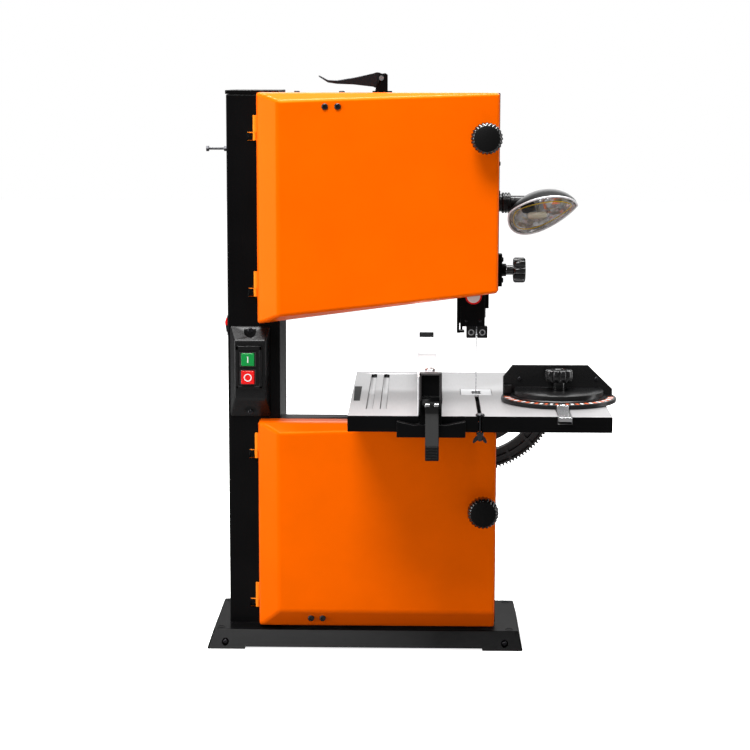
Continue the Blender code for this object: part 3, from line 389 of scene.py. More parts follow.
def build_frame_looks():
    finer("base", 1.6, 4)
    column = finer("column", 1.6, 4)
    paint_faces(column, "hinge_paint", lambda at, normal: (at.xy - Vector(HINGE)).length < HINGE_R + 0.4)
    finer("column_cap", 0.5)
    for node in ("upper_housing", "lower_housing"):
        finer(node, 0.9, 3, 12.0)
    finer("storage_bolt", 0.3, 2, 2.0, "blued_steel")
    finer("arc_support", 0.6)
    finer("lower_guide", 0.5)
    finer("wheel_carrier", 0.6)
    finer("lever_bracket", 0.3, 2, 3.0)
    build_base_fasteners()
    build_gland()


def build_base_fasteners():
    for i, x in enumerate((-312.8, 37.7)):
        screw(f"base_recess_screw_{i}", (x, -46.5, 8.0), "Y", -1, "frame", 2.8)
    for i, (x, y) in enumerate([(-319.5, -28.1), (44.0, -29.8), (44.3, 102.9), (-319.5, 102.0)]):
        grommet = bmesh.new()
        add_turned(grommet, (x, y, 22.0), "Z", [(5.2, 0.0), (5.2, 0.4), (3.7, 0.4), (3.7, -1.5)], 24)
        piece(f"base_hole_collar_{i}", grommet, "black_paint", "frame")
    for i, (x, y) in enumerate(((-223.7, 8.0), (-168.2, 8.0))):
        screw(f"housing_top_screw_{i}", (x, y, 691.1), "Z", 1, "frame", 3.6)
    for i, z in enumerate((604.7, 568.8)):
        screw(f"housing_side_screw_{i}", (26.4, 6.0, z), "X", 1, "frame", 2.8)
    for i, z in enumerate((344.0, 325.0)):
        screw(f"column_side_screw_{i}", (-309.9, 40.0, z), "X", -1, "frame", 2.6)
    weld = bmesh.new()
    steps = 90
    z = 22.3
    front = ((COLUMN_LEFT + 1, COLUMN_FRONT, z), (COLUMN_RIGHT - 1, COLUMN_FRONT, z))
    side = ((COLUMN_RIGHT + 0.1, -9, z), (COLUMN_RIGHT + 0.1, 112, z))
    for start, end in (front, side):
        for i in range(steps):
            at = Vector(start).lerp(Vector(end), i / (steps - 1))
            bead = bmesh.ops.create_icosphere(weld, subdivisions=1, radius=1.1)["verts"]
            bmesh.ops.translate(weld, vec=at, verts=bead)
    piece("column_weld_bead", weld, "black_paint", "frame", crease=80)


def build_gland():
    nut = bmesh.new()
    add_turned(nut, (-285, 113.2, 330), "Y", [(10.5, 0.0), (10.5, 4.0), (9.0, 4.6), (9.0, 0.0)], 6)
    ribs = [(8.9, 4.8)]
    for i in range(4):
        r, y = 8.6 - 0.5 * i, 6.0 + 2.2 * i
        ribs += [(r, y), (r - 1.2, y + 0.6), (r - 1.2, y + 1.6)]
    add_turned(nut, (-285, 112.8, 330), "Y", ribs, 32)
    piece("cable_gland_nut", nut, "black_plastic", "frame", bevel=0.3)


# ---------------------------------------------------------------- doors

def upper_bottom_z(x):
    """The upper housing's bottom edge climbs from the column to the blade."""
    return UPPER_BOTTOM + (x - DOOR_LEFT) * UPPER_SLOPE


def door(node, outline, face, hinges):
    """A pressed door: side walls, then chamfers up to its face, as a thin shell with soft edges."""
    shape = bmesh.new()
    levels = ((DOOR_BACK, outline), (DOOR_EDGE, outline), (DOOR_FACE, face))
    rows = [[(x, y, z) for x, z in points] for y, points in levels]
    loops = [[shape.verts.new(point) for point in row] for row in rows]
    for low, high in zip(loops, loops[1:]):
        for i in range(len(low)):
            j = (i + 1) % len(low)
            shape.faces.new((low[j], low[i], high[i], high[j]))
    cap = shape.faces.new(loops[-1])
    bmesh.ops.recalc_face_normals(shape, faces=shape.faces)
    cap.normal_update()
    if cap.normal.y > 0:
        bmesh.ops.reverse_faces(shape, faces=shape.faces)
    mesh = mesh_in_metres(node + "_shell", shape)
    mesh.shade_smooth()
    obj = new_object(node + "_shell", mesh)
    mesh.materials.append(FINISH["orange_paint"])
    add_bevel(obj, 3.4, 6, 20.0)
    wall = obj.modifiers.new("wall", "SOLIDIFY")
    wall.thickness = 1.5 * MM
    wall.offset = -1.0
    wall.use_even_offset = True
    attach(obj, BODY_OF[node])
    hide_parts(node)
    knuckles = bmesh.new()
    for low, high in hinges:
        middle = low + (high - low) * 0.31 + 0.3
        add_turned(knuckles, (*HINGE, 0), "Z", [(HINGE_R, middle), (HINGE_R, high)], 24)
        add_box(knuckles, (HINGE[0] + 1.5, DOOR_LEFT + 1.0), (HINGE[1] - 8, HINGE[1] + 1), (middle, high))
    piece(node + "_hinge_knuckles", knuckles, "hinge_paint", BODY_OF[node], bevel=0.25)
    return obj


def build_doors():
    left, right = upper_bottom_z(DOOR_LEFT), upper_bottom_z(DOOR_RIGHT)
    upper = door("upper_door",
                 [(DOOR_LEFT, left), (DOOR_RIGHT, right), (DOOR_RIGHT, DOOR_TOP), (DOOR_LEFT, DOOR_TOP)],
                 [(-244.0, left + 11.5), (DOOR_RIGHT, right + 2.5), (DOOR_RIGHT, DOOR_TOP - 0.8),
                  (-244.5, DOOR_TOP - 10.3)], UPPER_HINGES)
    notch = bmesh.new()
    add_box(notch, (-32, 30), (-17, -8), (436, 460))
    cut_from(upper, notch)
    corner = 9.0
    door("lower_door",
         [(DOOR_LEFT, LOWER_BOTTOM), (DOOR_RIGHT, LOWER_BOTTOM), (DOOR_RIGHT, LOWER_TOP - corner),
          (DOOR_RIGHT - corner, LOWER_TOP), (DOOR_LEFT, LOWER_TOP)],
         [(-245.0, 48.0), (DOOR_RIGHT, 48.0), (DOOR_RIGHT, LOWER_TOP - corner - 2.0),
          (DOOR_RIGHT - corner, LOWER_TOP - 3.5), (-245.2, LOWER_TOP - 12.3)], LOWER_HINGES)
    for i, (x, z) in enumerate(((-186.9, 674.8), (-171.4, 674.9))):
        screw(f"upper_door_screw_{i}", (x, DOOR_FACE + 0.1, z), "Y", -1, BODY_OF["upper_door"], 4.0)
    for i, x in enumerate((-205.2, -190.6)):
        screw(f"lower_door_screw_{i}", (x, -42.6, 37.9), "Y", -1, BODY_OF["lower_door"], 4.0)
    for name, z in (("upper", UPPER_KNOB_Z), ("lower", LOWER_KNOB_Z)):
        build_door_knob(name, z)


def cut_from(obj, shape):
    """Cuts a bmesh in millimetres out of a piece, through its evaluated mesh."""
    bmesh.ops.recalc_face_normals(shape, faces=shape.faces)
    tool = new_object("cutter", mesh_in_metres("cutter", shape))
    taken = obj.modifiers.new("cut", "BOOLEAN")
    taken.object = tool
    taken.operation = "DIFFERENCE"
    taken.solver = "EXACT"
    bpy.context.view_layer.update()
    final = bpy.data.meshes.new_from_object(obj.evaluated_get(bpy.context.evaluated_depsgraph_get()))
    obj.modifiers.clear()
    obj.data = final
    smooth(final)
    even = obj.modifiers.new("even", "WEIGHTED_NORMAL")
    even.keep_sharp = True
    bpy.data.objects.remove(tool)
    return obj


def build_door_knob(name, z):
    """A fluted grip with a flat disc set in its face, on a hub and a threaded stud."""
    place, body = (KNOB_X, 0, z), BODY_OF[f"{name}_door_knob"]
    shape = bmesh.new()
    rim = [(12.0, -61.5), (17.4, -61.5, 0.4), (18.8, -62.6, 0.9), (19.3, -65.0, 1), (19.3, -75.4, 1),
           (18.6, -77.6, 1), (16.4, -80.0, 0.5), (15.6, -80.4)]
    add_turned(shape, place, "Y", rim, 192, KNOB_FLUTES, KNOB_FLUTE_DEPTH)
    piece(f"{name}_knob_grip", shape, "gloss_black", body, crease=24)
    cap = bmesh.new()
    add_turned(cap, place, "Y", [(15.6, -80.2), (15.4, -81.6), (14.8, -82.0), (0.6, -82.0)], 96)
    piece(f"{name}_knob_cap", cap, "matt_black", body)
    hub = bmesh.new()
    add_turned(hub, place, "Y", [(9.0, -61.6), (8.0, -58.0), (8.0, -49.2), (7.4, -48.4), (2.0, -48.4)], 40)
    add_turned(hub, place, "Y", [(3.0, -49.0), (3.0, -4.0), (2.3, -3.1), (0.5, -3.1)], 24)
    hub_piece = piece(f"{name}_knob_hub", hub, "black_plastic", body)
    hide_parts(f"{name}_door_knob")


# ---------------------------------------------------------------- wheels, blade and drive

def blade_path(count_on_turn=60):
    """Points and outward directions round the loop, with the cutting run last."""
    path = []
    for centre_z, start in ((UPPER_WHEEL_Z, 0.0), (LOWER_WHEEL_Z, math.pi)):
        for i in range(count_on_turn + 1):
            angle = start + math.pi * i / count_on_turn
            out = Vector((math.cos(angle), 0, math.sin(angle)))
            path.append((Vector((WHEEL_X, 0, centre_z)) + out * BLADE_R, out))
    return path


def build_blade():
    """The band with its teeth along the front edge; tooth pitch is that of TEETH_AN_INCH."""
    pitch, gullet, front, back = 25.4 / TEETH_AN_INCH, 1.7, -6.0, 6.0
    corners = blade_path()
    lengths = [0.0]
    for (a, _), (b, _) in zip(corners, corners[1:] + corners[:1]):
        lengths.append(lengths[-1] + (b - a).length)
    teeth = round(lengths[-1] / pitch)
    step = lengths[-1] / teeth
    marks = sorted([(k * step, front) for k in range(teeth)] +
                   [((k + 0.18) * step, front + gullet) for k in range(teeth)] +
                   [((k + 0.62) * step, front + gullet * 0.8) for k in range(teeth)])
    shape = bmesh.new()
    rows, segment = [], 0
    for along, edge in marks:
        while along > lengths[segment + 1]:
            segment += 1
        (a, out_a), (b, out_b) = corners[segment], corners[(segment + 1) % len(corners)]
        t = (along - lengths[segment]) / (lengths[segment + 1] - lengths[segment])
        at, out = a.lerp(b, t), out_a.lerp(out_b, t).normalized()
        rows.append([shape.verts.new(at + out * side * BLADE_HALF_THICK + Vector((0, y, 0)))
                     for side, y in ((1, edge), (1, back), (-1, back), (-1, edge))])
    for low, high in zip(rows, rows[1:] + rows[:1]):
        for i in range(4):
            j = (i + 1) % 4
            shape.faces.new((low[i], low[j], high[j], high[i]))
    band = piece("blade_band", shape, "blade_steel", "frame", crease=40)
    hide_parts("blade")


def build_running_gear():
    build_blade()
    for name in ("upper", "lower"):
        finer(f"{name}_wheel", 0.7, 3, 3.0, "cast_alloy")
        finer(f"{name}_bearing", 0.5, 2, 1.0)
        finer(f"{name}_axle", 0.6, 2, 1.0)
        NODES[f"{name}_tyre"].data.materials[0] = FINISH["rubber"]
    finer("wheel_pulley", 0.6, 2, 1.0)
    finer("motor_pulley", 0.6, 2, 1.0)
    NODES["drive_belt"].data.materials[0] = FINISH["rubber"]
    seals = bmesh.new()
    for y, way in ((-6.6, -1), (6.6, 1)):
        profile = [(12.4, y - way * 0.2), (12.4, y), (8.0, y), (8.0, y - way * 0.2)]
        add_turned(seals, (WHEEL_X, 0, UPPER_WHEEL_Z), "Y", profile, 40)
    piece("upper_bearing_seals", seals, "blued_steel", BODY_OF["upper_bearing"])
    coil = bpy.data.curves.new("tension_coil", "CURVE")
    coil.dimensions = "3D"
    coil.bevel_depth = 0.9 * MM
    coil.bevel_resolution = 4
    coil.use_fill_caps = True
    turns, steps = 5, 28
    line = coil.splines.new("POLY")
    line.points.add(turns * steps)
    for i, point in enumerate(line.points):
        angle = 2 * math.pi * i / steps
        rise = SPRING_HEIGHT * i / (turns * steps)
        around = Vector((SPRING_R * math.cos(angle), SPRING_R * math.sin(angle), rise))
        point.co = (*((Vector(SPRING_AT) + around) * MM), 1)
    spring = new_object("tension_coil", coil)
    coil.materials.append(FINISH["bright_steel"])
    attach(spring, BODY_OF["tension_spring"])
    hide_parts("tension_spring")
    grip("tracking_knob", (WHEEL_X, 0, TRACKING_Z), "Y", 30, 48, 14.0, 10, neck=(3.0, 19.9, 30.5))
    build_motor()


def grip(node, centre, axis, start, end, radius, lobes, neck=None, depth=0.08, finish="black_plastic"):
    """A fluted knob between two values of its axis, with a plain neck, which stands for its CAD node."""
    shape = bmesh.new()
    soft = min(2.4, (end - start) * 0.2)
    shoulder = [(soft, 0.0, 0.3), (soft * 0.3, soft * 0.35, 0.7), (0.0, soft, 1)]
    profile = [(radius * 0.7, start)]
    profile += [(radius - less, start + along, share) for less, along, share in shoulder]
    profile += [(radius - less, end - along, share) for less, along, share in reversed(shoulder)]
    profile += [(radius * 0.72, end), (radius * 0.68, end - 0.7), (radius * 0.1, end - 0.7)]
    add_turned(shape, centre, axis, profile, lobes * 12, lobes, radius * depth * 1.8)
    if neck:
        r, low, high = neck
        add_turned(shape, centre, axis, [(r, low), (r, high)], 32)
    made = piece(node + "_grip", shape, finish, BODY_OF[node], crease=30)
    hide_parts(node)
    return made


def build_motor():
    """The motor's finned casing, end cap with vents and terminal cover, inside the CAD cylinder."""
    x, z = MOTOR_X, MOTOR_Z
    shape = bmesh.new()
    add_turned(shape, (x, 0, z), "Y", [(30, 22.4), (56, 22.4), (58, 24), (58, 30), (56.5, 31)], 96)
    add_turned(shape, (x, 0, z), "Y", [(56.5, 30.5), (59.6, 31, 1), (59.6, 90, 1), (56.5, 91)], 288, 36, 3.0)
    cover = [(56.5, 90), (59.0, 91), (59.0, 100), (56.0, 108), (50, 111.2), (28, 111.8), (5, 111.8)]
    add_turned(shape, (x, 0, z), "Y", cover, 96)
    motor = piece("motor_casing", shape, "black_paint", "frame", crease=40)
    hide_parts("motor")
    vents = bmesh.new()
    for i in range(24):
        angle = 2 * math.pi * i / 24
        slot = add_box(vents, (34, 48), (111.5, 112.0), (-1.3, 1.3))
        turn = Matrix.Translation((x, 0, z)) @ Matrix.Rotation(angle, 4, "Y")
        bmesh.ops.transform(vents, matrix=turn, verts=slot)
    piece("motor_vents", vents, "grey_plastic", "frame")
    for i in range(4):
        angle = math.radians(45 + 90 * i)
        at = (x + 53.5 * math.cos(angle), 108.4, z + 53.5 * math.sin(angle))
        screw(f"motor_screw_{i}", at, "Y", 1, "frame", 2.6)


# ---------------------------------------------------------------- tension lever, guides

def build_tension_lever():
    finer("tension_lever", 0.9, 3, 2.0, "blued_steel")
    pins = bmesh.new()
    for start, end in ((2.4, 3.1), (23.3, 24.0)):
        pin = [(0.5, start), (3.0, start), (3.0, end), (0.5, end)]
        add_turned(pins, (SPRING_AT[0], 0, LEVER_PIVOT_Z), "Y", pin, 28)
    piece("lever_pin_ends", pins, "bright_steel", "frame")


def build_guides():
    finer("guide_post", 0.5)
    finer("guide_bracket", 0.5, 3, 2.0)
    finer("blade_guard", 0.9, 4)
    guide = BODY_OF["blade_guard"]
    for name, x in (("left", -6.6), ("right", 7.3)):
        finer(f"{name}_jaw", 0.7, 3)
        screw(f"{name}_jaw_screw", (x, -5.9, JAW_Z), "Y", -1, guide, 2.4, "blued_steel")
        washer = bmesh.new()
        add_washer(washer, (x, 0, JAW_Z), 2.5, 3.9, -5.9, -6.5, 32)
        piece(f"{name}_jaw_washer", washer, "bright_steel", guide, bevel=0.1)
    lip = bmesh.new()
    add_box(lip, (-20.3, -17.6), (-14.3, -12.6), (400, 411))
    piece("guard_lip", lip, "black_paint", guide, bevel=0.4)
    for i, (x, z) in enumerate(((4.6, 411.0), (-13.0, 411.0))):
        screw(f"guard_screw_{i}", (x, -14.4, z), "Y", -1, guide, 1.6)
    for name, r, back, front, finish in (("guard_disc_rim", 10.2, -14.45, -14.7, "red_plastic"),
                                         ("guard_disc", 8.3, -14.5, -14.8, "white_mark")):
        disc = bmesh.new()
        add_turned(disc, GUARD_DISC, "Y", [(0.5, back), (r, back), (r, front), (0.5, front)], 48)
        piece(name, disc, finish, guide)
    finer("thrust_bearing", 0.5, 3, 1.0)
    finer("post_lock_flange", 0.8, 3)
    for i, z in enumerate((485.0, 459.0)):
        screw(f"flange_screw_{i}", (31.6, LOCK_Y, z), "X", 1, "frame", 3.2)
    grip("post_lock_knob", (0, LOCK_Y, LOCK_Z), "X", 45.6, 60.8, 15.9, 8, neck=(6.2, 37.2, 46.5), depth=0.11,
         finish="gloss_black")
    stem = bmesh.new()
    add_turned(stem, (0, LOCK_Y, LOCK_Z), "X", [(3.0, 13.0), (3.0, 37.5)], 24)
    piece("post_lock_screw", stem, "bright_steel", BODY_OF["post_lock_knob"])


# ---------------------------------------------------------------- table

def build_table():
    table = finer("table", 0.7, 3, 6.0)
    grooves = TABLE_Z - 9.5
    paint_faces(table, "black_paint", lambda at, normal: not (normal.z > 0.9 and at.z > grooves) and
                not (at.z > TABLE_Z - 8 and abs(at.x - MITER[0]) < 9 and at.y > TABLE_FRONT + 2))
    # Black half-disc plates on the floors of the two grooves at their back ends: painted shade for the shaded
    # end walls
    end_shade = bmesh.new()
    for left, right in ((-134.0, -126.5), (-117.5, -110.0)):
        middle, r = (left + right) / 2, (right - left) / 2 - 0.2
        add_plate(end_shade, arc((middle, 143.0), r, 0, 180, 17) + [(left + 0.2, 138), (right - 0.2, 138)],
                  TABLE_Z - 3.6, TABLE_Z - 3.3, "Z")
    piece("groove_end_shade", end_shade, "black_plastic", BODY_OF["table"])
    stop = bmesh.new()
    add_plate(stop, [(-150.8, -75.5), (-143.2, -75.5), (-143.6, 38.8), (-153.2, 38.8)], TABLE_Z - 0.4,
              TABLE_Z + 0.15, "Z")
    piece("table_edge_plate", stop, "matt_black", BODY_OF["table"], bevel=0.1)
    backing = bmesh.new()
    add_box(backing, (-6.0, 6.2), (-179.0, -177.6), (301.5, TABLE_Z - 8.2))
    piece("table_slit_plate", backing, "black_paint", BODY_OF["table"], bevel=0.3)
    finer("table_insert", 0.4, 3, 2.0)
    slot = bmesh.new()
    add_box(slot, (-4.8, 5.2), (-16.2, 8.6), (TABLE_Z - 2.8, TABLE_Z - 1.6))
    piece("insert_slot_shade", slot, "black_plastic", BODY_OF["table"])
    build_wing_screw()
    build_tilt()


def build_wing_screw():
    """The screw that bridges the table's slit: a slotted head, a stem and a wing nut under the apron."""
    x, y = 0.1, TABLE_FRONT + 3.2
    shape = bmesh.new()
    head_and_stem = [(1.6, APRON_BOTTOM), (1.6, 320.4), (5.4, 320.4), (5.4, 321.4), (4.6, 322.6),
                     (1.0, 322.9)]
    nut_body = [(2.7, 290.6), (3.0, 291.2), (4.5, 299.6), (4.2, 300.4), (1.7, 300.4)]
    for profile in (head_and_stem, nut_body):
        add_turned(shape, (x, y, 0), "Z", profile, 32)
    for side in (-1, 1):
        lobe = [(x + side * (5.0 + 2.4 * math.cos(t) - 2.2 * math.sin(t)), 292.2 + 4.4 * math.sin(t))
                for t in (2 * math.pi * k / 28 for k in range(28))]
        add_plate(shape, lobe, y - 1.3, y + 1.3)
    body = BODY_OF["table_wing_screw"]
    made = piece("table_wing_nut", shape, "blued_steel", body, bevel=0.4)
    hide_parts("table_wing_screw")


def build_tilt():
    """The toothed tilt arc with its two rims and radial ribs, cut as pockets in its front and back."""
    arc_piece = finer("tilt_arc", 0.15, 1, 50.0, "grey_plastic")
    pockets = bmesh.new()
    centre = (0.0, TABLE_Z)
    pitch = 17.8
    for k in range(7):
        start = -152 + pitch * k
        for inner, outer in ((86.0, 93.0), (95.2, 101.6)):
            outline = arc(centre, outer, start + 1.1, start + pitch - 1.1, 9)
            outline += arc(centre, inner, start + pitch - 1.2, start + 1.2, 9)
            for low, high in ((28.0, 34.5), (39.5, 46.0)):
                add_plate(pockets, outline, low, high, "Y")
    cut_from(arc_piece, pockets)
    arc_piece.data.shade_smooth()
    arc_piece.data.set_sharp_from_angle(angle=math.radians(25))
    grip("tilt_pinion", pinion_place(), "Y", 54, 68, 15.0, 12, neck=(4.0, 23, 54.5))
    finer("tilt_lock", 0.8, 3, 3.0)


def pinion_place():
    low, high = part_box("tilt_pinion")
    middle = ((low + high) / 2 - ZERO) / MM
    return (middle.x, 0, middle.z)


# ---------------------------------------------------------------- fence and miter gauge

def build_fence():
    finer("fence_bar", 0.9, 4)
    finer("fence_tail", 0.7)
    finer("fence_head", 0.9, 4, 3.0)
    finer("fence_lever", 1.1, 4, 3.0, "matt_black")
    body = BODY_OF["fence_head"]
    x0, x1, front = FENCE_LEFT, FENCE_RIGHT, FENCE_HEAD_FRONT
    rim = bmesh.new()
    for x in ((x0 + 0.2, x0 + 2.6), (x1 - 2.6, x1 - 0.2)):
        add_box(rim, x, (front - 1.1, front + 0.5), (336.0, 371.6))
    add_box(rim, (x0 + 0.2, x1 - 0.2), (front - 1.1, front + 0.5), (369.2, 371.6))
    piece("fence_head_rim", rim, "grey_plastic", body, bevel=0.5)
    nut = bmesh.new()
    add_turned(nut, FENCE_NUT_AT, "Z", [(6.0, 0.0), (6.0, 3.4), (5.2, 4.0), (3.0, 4.0)], 6)
    add_turned(nut, FENCE_NUT_AT, "Z", [(2.8, 1.0), (2.8, 4.9), (0.5, 4.9)], 24)
    piece("fence_bar_nut", nut, "bright_steel", body, bevel=0.25)
    rollers = bmesh.new()
    for x in (-64.2, -53.8):
        add_turned(rollers, (0, TABLE_FRONT - 14.5, 334.2), "X",
                   [(0.5, x), (4.6, x), (5.1, x + 0.6), (5.1, x + 5.2), (4.6, x + 5.8), (0.5, x + 5.8)], 32)
    piece("fence_cam_rollers", rollers, "bright_steel", BODY_OF["fence_lever"])
    ribs = bmesh.new()
    for i in range(5):
        z = 280.0 + 3.2 * i
        y = -242.6 + (z - 277.5) / (294 - 277.5) * 3.1
        add_box(ribs, (-63.0, -49.2), (y - 0.2, y + 1.0), (z - 0.6, z + 0.6))
    piece("fence_lever_ribs", ribs, "black_plastic", BODY_OF["fence_lever"], bevel=0.2)


def build_miter():
    finer("miter_bar", 0.5)
    finer("miter_head", 0.8, 3, 5.0)
    body = BODY_OF["miter_head"]
    ring = bmesh.new()
    ridge = [(55.2, 325.3), (55.2, 327.3), (56.6, 327.8), (57.6, 327.0), (57.6, 325.3)]
    add_turned(ring, (*MITER, 0), "Z", ridge, 120)
    piece("miter_scale_ring", ring, "black_plastic", body)
    marks = {"orange_mark": bmesh.new(), "white_mark": bmesh.new()}
    for k in range(-15, 16):
        angle = math.radians(-90 + 5.6 * k)
        finish = "orange_mark" if k % 2 else "white_mark"
        dash = add_box(marks[finish], (60.2, 66.8), (-1.5, 1.5), (325.3, 325.75))
        turn = Matrix.Translation((*MITER, 0)) @ Matrix.Rotation(angle, 4, "Z")
        bmesh.ops.transform(marks[finish], matrix=turn, verts=dash)
    for finish, shape in marks.items():
        piece("miter_scale_" + finish, shape, finish, body)
    hub = bmesh.new()
    add_turned(hub, (*MITER, 0), "Z", [(20.0, 333.4), (20.0, 334.0), (47.0, 334.0), (49.5, 333.4)][::-1], 96)
    piece("miter_disc_step", hub, "black_plastic", body, bevel=0.2)
    for i, x in enumerate((52.0, 146.0)):
        screw(f"miter_plate_screw_{i}", (x, MITER[1] + 17.7, 344.0), "Y", -1, body, 2.6)
    tab = bmesh.new()
    add_box(tab, (33, 42.5), (-54.5, -48.2), (326, 337))
    piece("miter_end_tab", tab, "black_plastic", body, bevel=0.6)
    grip("miter_knob", (*MITER, 0), "Z", 343.5, 358, 17.0, 10, neck=(8.0, 333.9, 344.2),
         finish="gloss_black")
    pointer = bmesh.new()
    add_box(pointer, (92.0, 106.0), (-144.0, -136.8), (319.9, 326.4))
    add_box(pointer, (96.0, 102.0), (-138.0, -131.0), (325.8, 326.6))
    piece("miter_pointer", pointer, "bright_steel", BODY_OF["miter_bar"], bevel=0.6)


# ---------------------------------------------------------------- switches

def build_switch_case(body):
    """The tapered case with a U-shaped recess over each screw, and the raised frame round the buttons."""
    x = SWITCH_X
    case = bmesh.new()
    for vert in add_box(case, (-1, 1), (-26.0, -10.3), (-1, 1)):
        low_x, high_x, low_z, high_z = SWITCH_FRONT if vert.co.y < -20 else SWITCH_BACK
        vert.co = (high_x if vert.co.x > 0 else low_x, vert.co.y, high_z if vert.co.z > 0 else low_z)
    made = piece("switch_case", case, "black_plastic", body, bevel=2.2, segments=4)
    recesses = bmesh.new()
    add_plate(recesses, arc((x, 396.5), 7.6, 180, 360, 25) + [(x + 7.6, 410), (x - 7.6, 410)], -40, -13.5)
    add_plate(recesses, arc((x, 296.0), 7.6, 0, 180, 25) + [(x - 7.6, 280), (x + 7.6, 280)], -40, -13.5)
    add_button_wells(recesses)
    cut_from(made, recesses)
    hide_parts("switch_box")
    raised = bmesh.new()
    add_box(raised, (-298.6, -266.5), (-28.2, -25.0), (328.2, 379.6))
    plate = piece("switch_frame_plate", raised, "black_plastic", body, bevel=0.8)
    wells = bmesh.new()
    add_button_wells(wells)
    cut_from(plate, wells)


def add_button_wells(shape):
    for low, high in BUTTON_WELLS:
        add_box(shape, (-292.0, -275.1), (-40, -19.5), (low, high))


def build_switches():
    column = BODY_OF["switch_box"]
    build_switch_case(column)
    surround = bmesh.new()
    add_frame(surround, (-298.9, -266.2), (-29.4, -27.4), (327.0, 380.2), 3.5, 3.2, 5.2)
    piece("switch_surround", surround, "black_plastic", column, bevel=0.6)
    collar = bmesh.new()
    for z in BUTTON_COLLARS:
        add_frame(collar, (-293.6, -273.5), (-29.6, -27.8), z, 1.4, 0.6, 0.6)
    piece("button_collars", collar, "grey_plastic", column, bevel=0.2)
    for node, finish in (("start_button", "green_plastic"), ("stop_button", "red_plastic")):
        finer(node, 0.9, 4, finish=finish)
    line = bmesh.new()
    add_box(line, (-284.1, -282.9), (-31.75, -31.3), (359.4, 367.4))
    piece("start_mark", line, "white_mark", BODY_OF["start_button"])
    ring = bmesh.new()
    add_washer(ring, (-283.5, 0, 341.3), 3.7, 4.9, -33.35, -33.75, 48)
    piece("stop_mark", ring, "white_mark", BODY_OF["stop_button"])
    for i, z in enumerate((398.0, 295.0)):
        screw(f"switch_screw_{i}", (SWITCH_X, -14.0, z), "Y", -1, column, 3.4)
    build_rocker(column)


def build_rocker(column):
    """The rocker's red upper half and black lower half, in a bezel on the column's left side."""
    top = [(-311.3, 402.6), (-311.6, 412), (-312.6, 412), (-314.4, 406.5), (-313.8, 402.6)]
    foot = [(-311.2, 394), (-311.3, 402.5), (-313.7, 402.5), (-312.6, 394)]
    for name, finish, outline in (("rocker_top", "red_plastic", top), ("rocker_foot", "black_plastic", foot)):
        half = bmesh.new()
        add_plate(half, outline, 0, 15)
        piece(name, half, finish, BODY_OF["rocker_switch"], bevel=0.2)
    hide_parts("rocker_switch")
    bezel = bmesh.new()
    for z in ((390.0, 393.2), (412.6, 415.0)):
        add_box(bezel, (-311.4, -309.8), (-2.0, 17.0), z)
    for y in ((-2.0, -0.6), (15.6, 17.0)):
        add_box(bezel, (-311.4, -309.8), y, (390.0, 415.0))
    piece("rocker_bezel", bezel, "black_plastic", column, bevel=0.3)


# ---------------------------------------------------------------- lamp

def egg_side(across, half):
    """Reach and lean of the side that a point is on; half is the half length, then the reach down and up."""
    return (half[1], LAMP_LEAN[0]) if across > 0 else (half[2], LAMP_LEAN[1])


def egg(turn, half):
    """A point of the lamp's lopsided outline."""
    across = math.sin(turn) * abs(math.sin(turn)) ** 0.4
    reach, lean = egg_side(across, half)
    return math.cos(turn) * half[0] + abs(across) * lean, across * reach


def egg_rows(shape, half, depth, around=72, rows=18, flip=1.0):
    """Half a lopsided egg about the origin, its flat side down, as rows of vertices from rim to crown."""
    made = []
    for j in range(rows):
        lift = math.pi / 2 * j / rows
        ring = []
        for i in range(around):
            turn = 2 * math.pi * i / around
            x, y = math.cos(turn) * math.cos(lift), math.sin(turn) * math.cos(lift)
            taper = max(0.0, 1 - x * x) ** 0.2
            reach, lean = egg_side(y, half)
            across = y * taper
            ring.append(shape.verts.new((x * half[0] + abs(across) * lean, across * reach,
                                         math.sin(lift) * depth * taper * flip)))
        made.append(ring)
    for low, high in zip(made, made[1:]):
        for i in range(around):
            j = (i + 1) % around
            shape.faces.new((low[i], low[j], high[j], high[i]))
    crown = shape.verts.new((0, 0, depth * flip))
    for i in range(around):
        shape.faces.new((made[-1][i], made[-1][(i + 1) % around], crown))
    return made


def lamp_place(shape, lift=0.0):
    """Turns a shape made about the origin to the lamp's tilt and moves it to the lamp."""
    turn = Matrix.Rotation(math.radians(LAMP_ROLL), 4, "Y") @ Matrix.Rotation(math.radians(LAMP_TILT), 4, "X")
    move = Matrix.Translation(Vector(LAMP_AT)) @ turn @ Matrix.Translation((0, 0, lift))
    bmesh.ops.transform(shape, matrix=move, verts=shape.verts)
    bmesh.ops.remove_doubles(shape, verts=shape.verts, dist=0.02)


def egg_band(shape, outer, inner, low, high, around=120):
    """A flat egg-shaped ring between two outlines."""
    rows = []
    for half, z in ((outer, low), (outer, high), (inner, high), (inner, low)):
        rows.append([shape.verts.new((*egg(2 * math.pi * i / around, half), z)) for i in range(around)])
    for first, second in zip(rows, rows[1:] + rows[:1]):
        for i in range(around):
            j = (i + 1) % around
            shape.faces.new((first[i], first[j], second[j], second[i]))


def inset(half, step):
    return tuple(size - step for size in half)


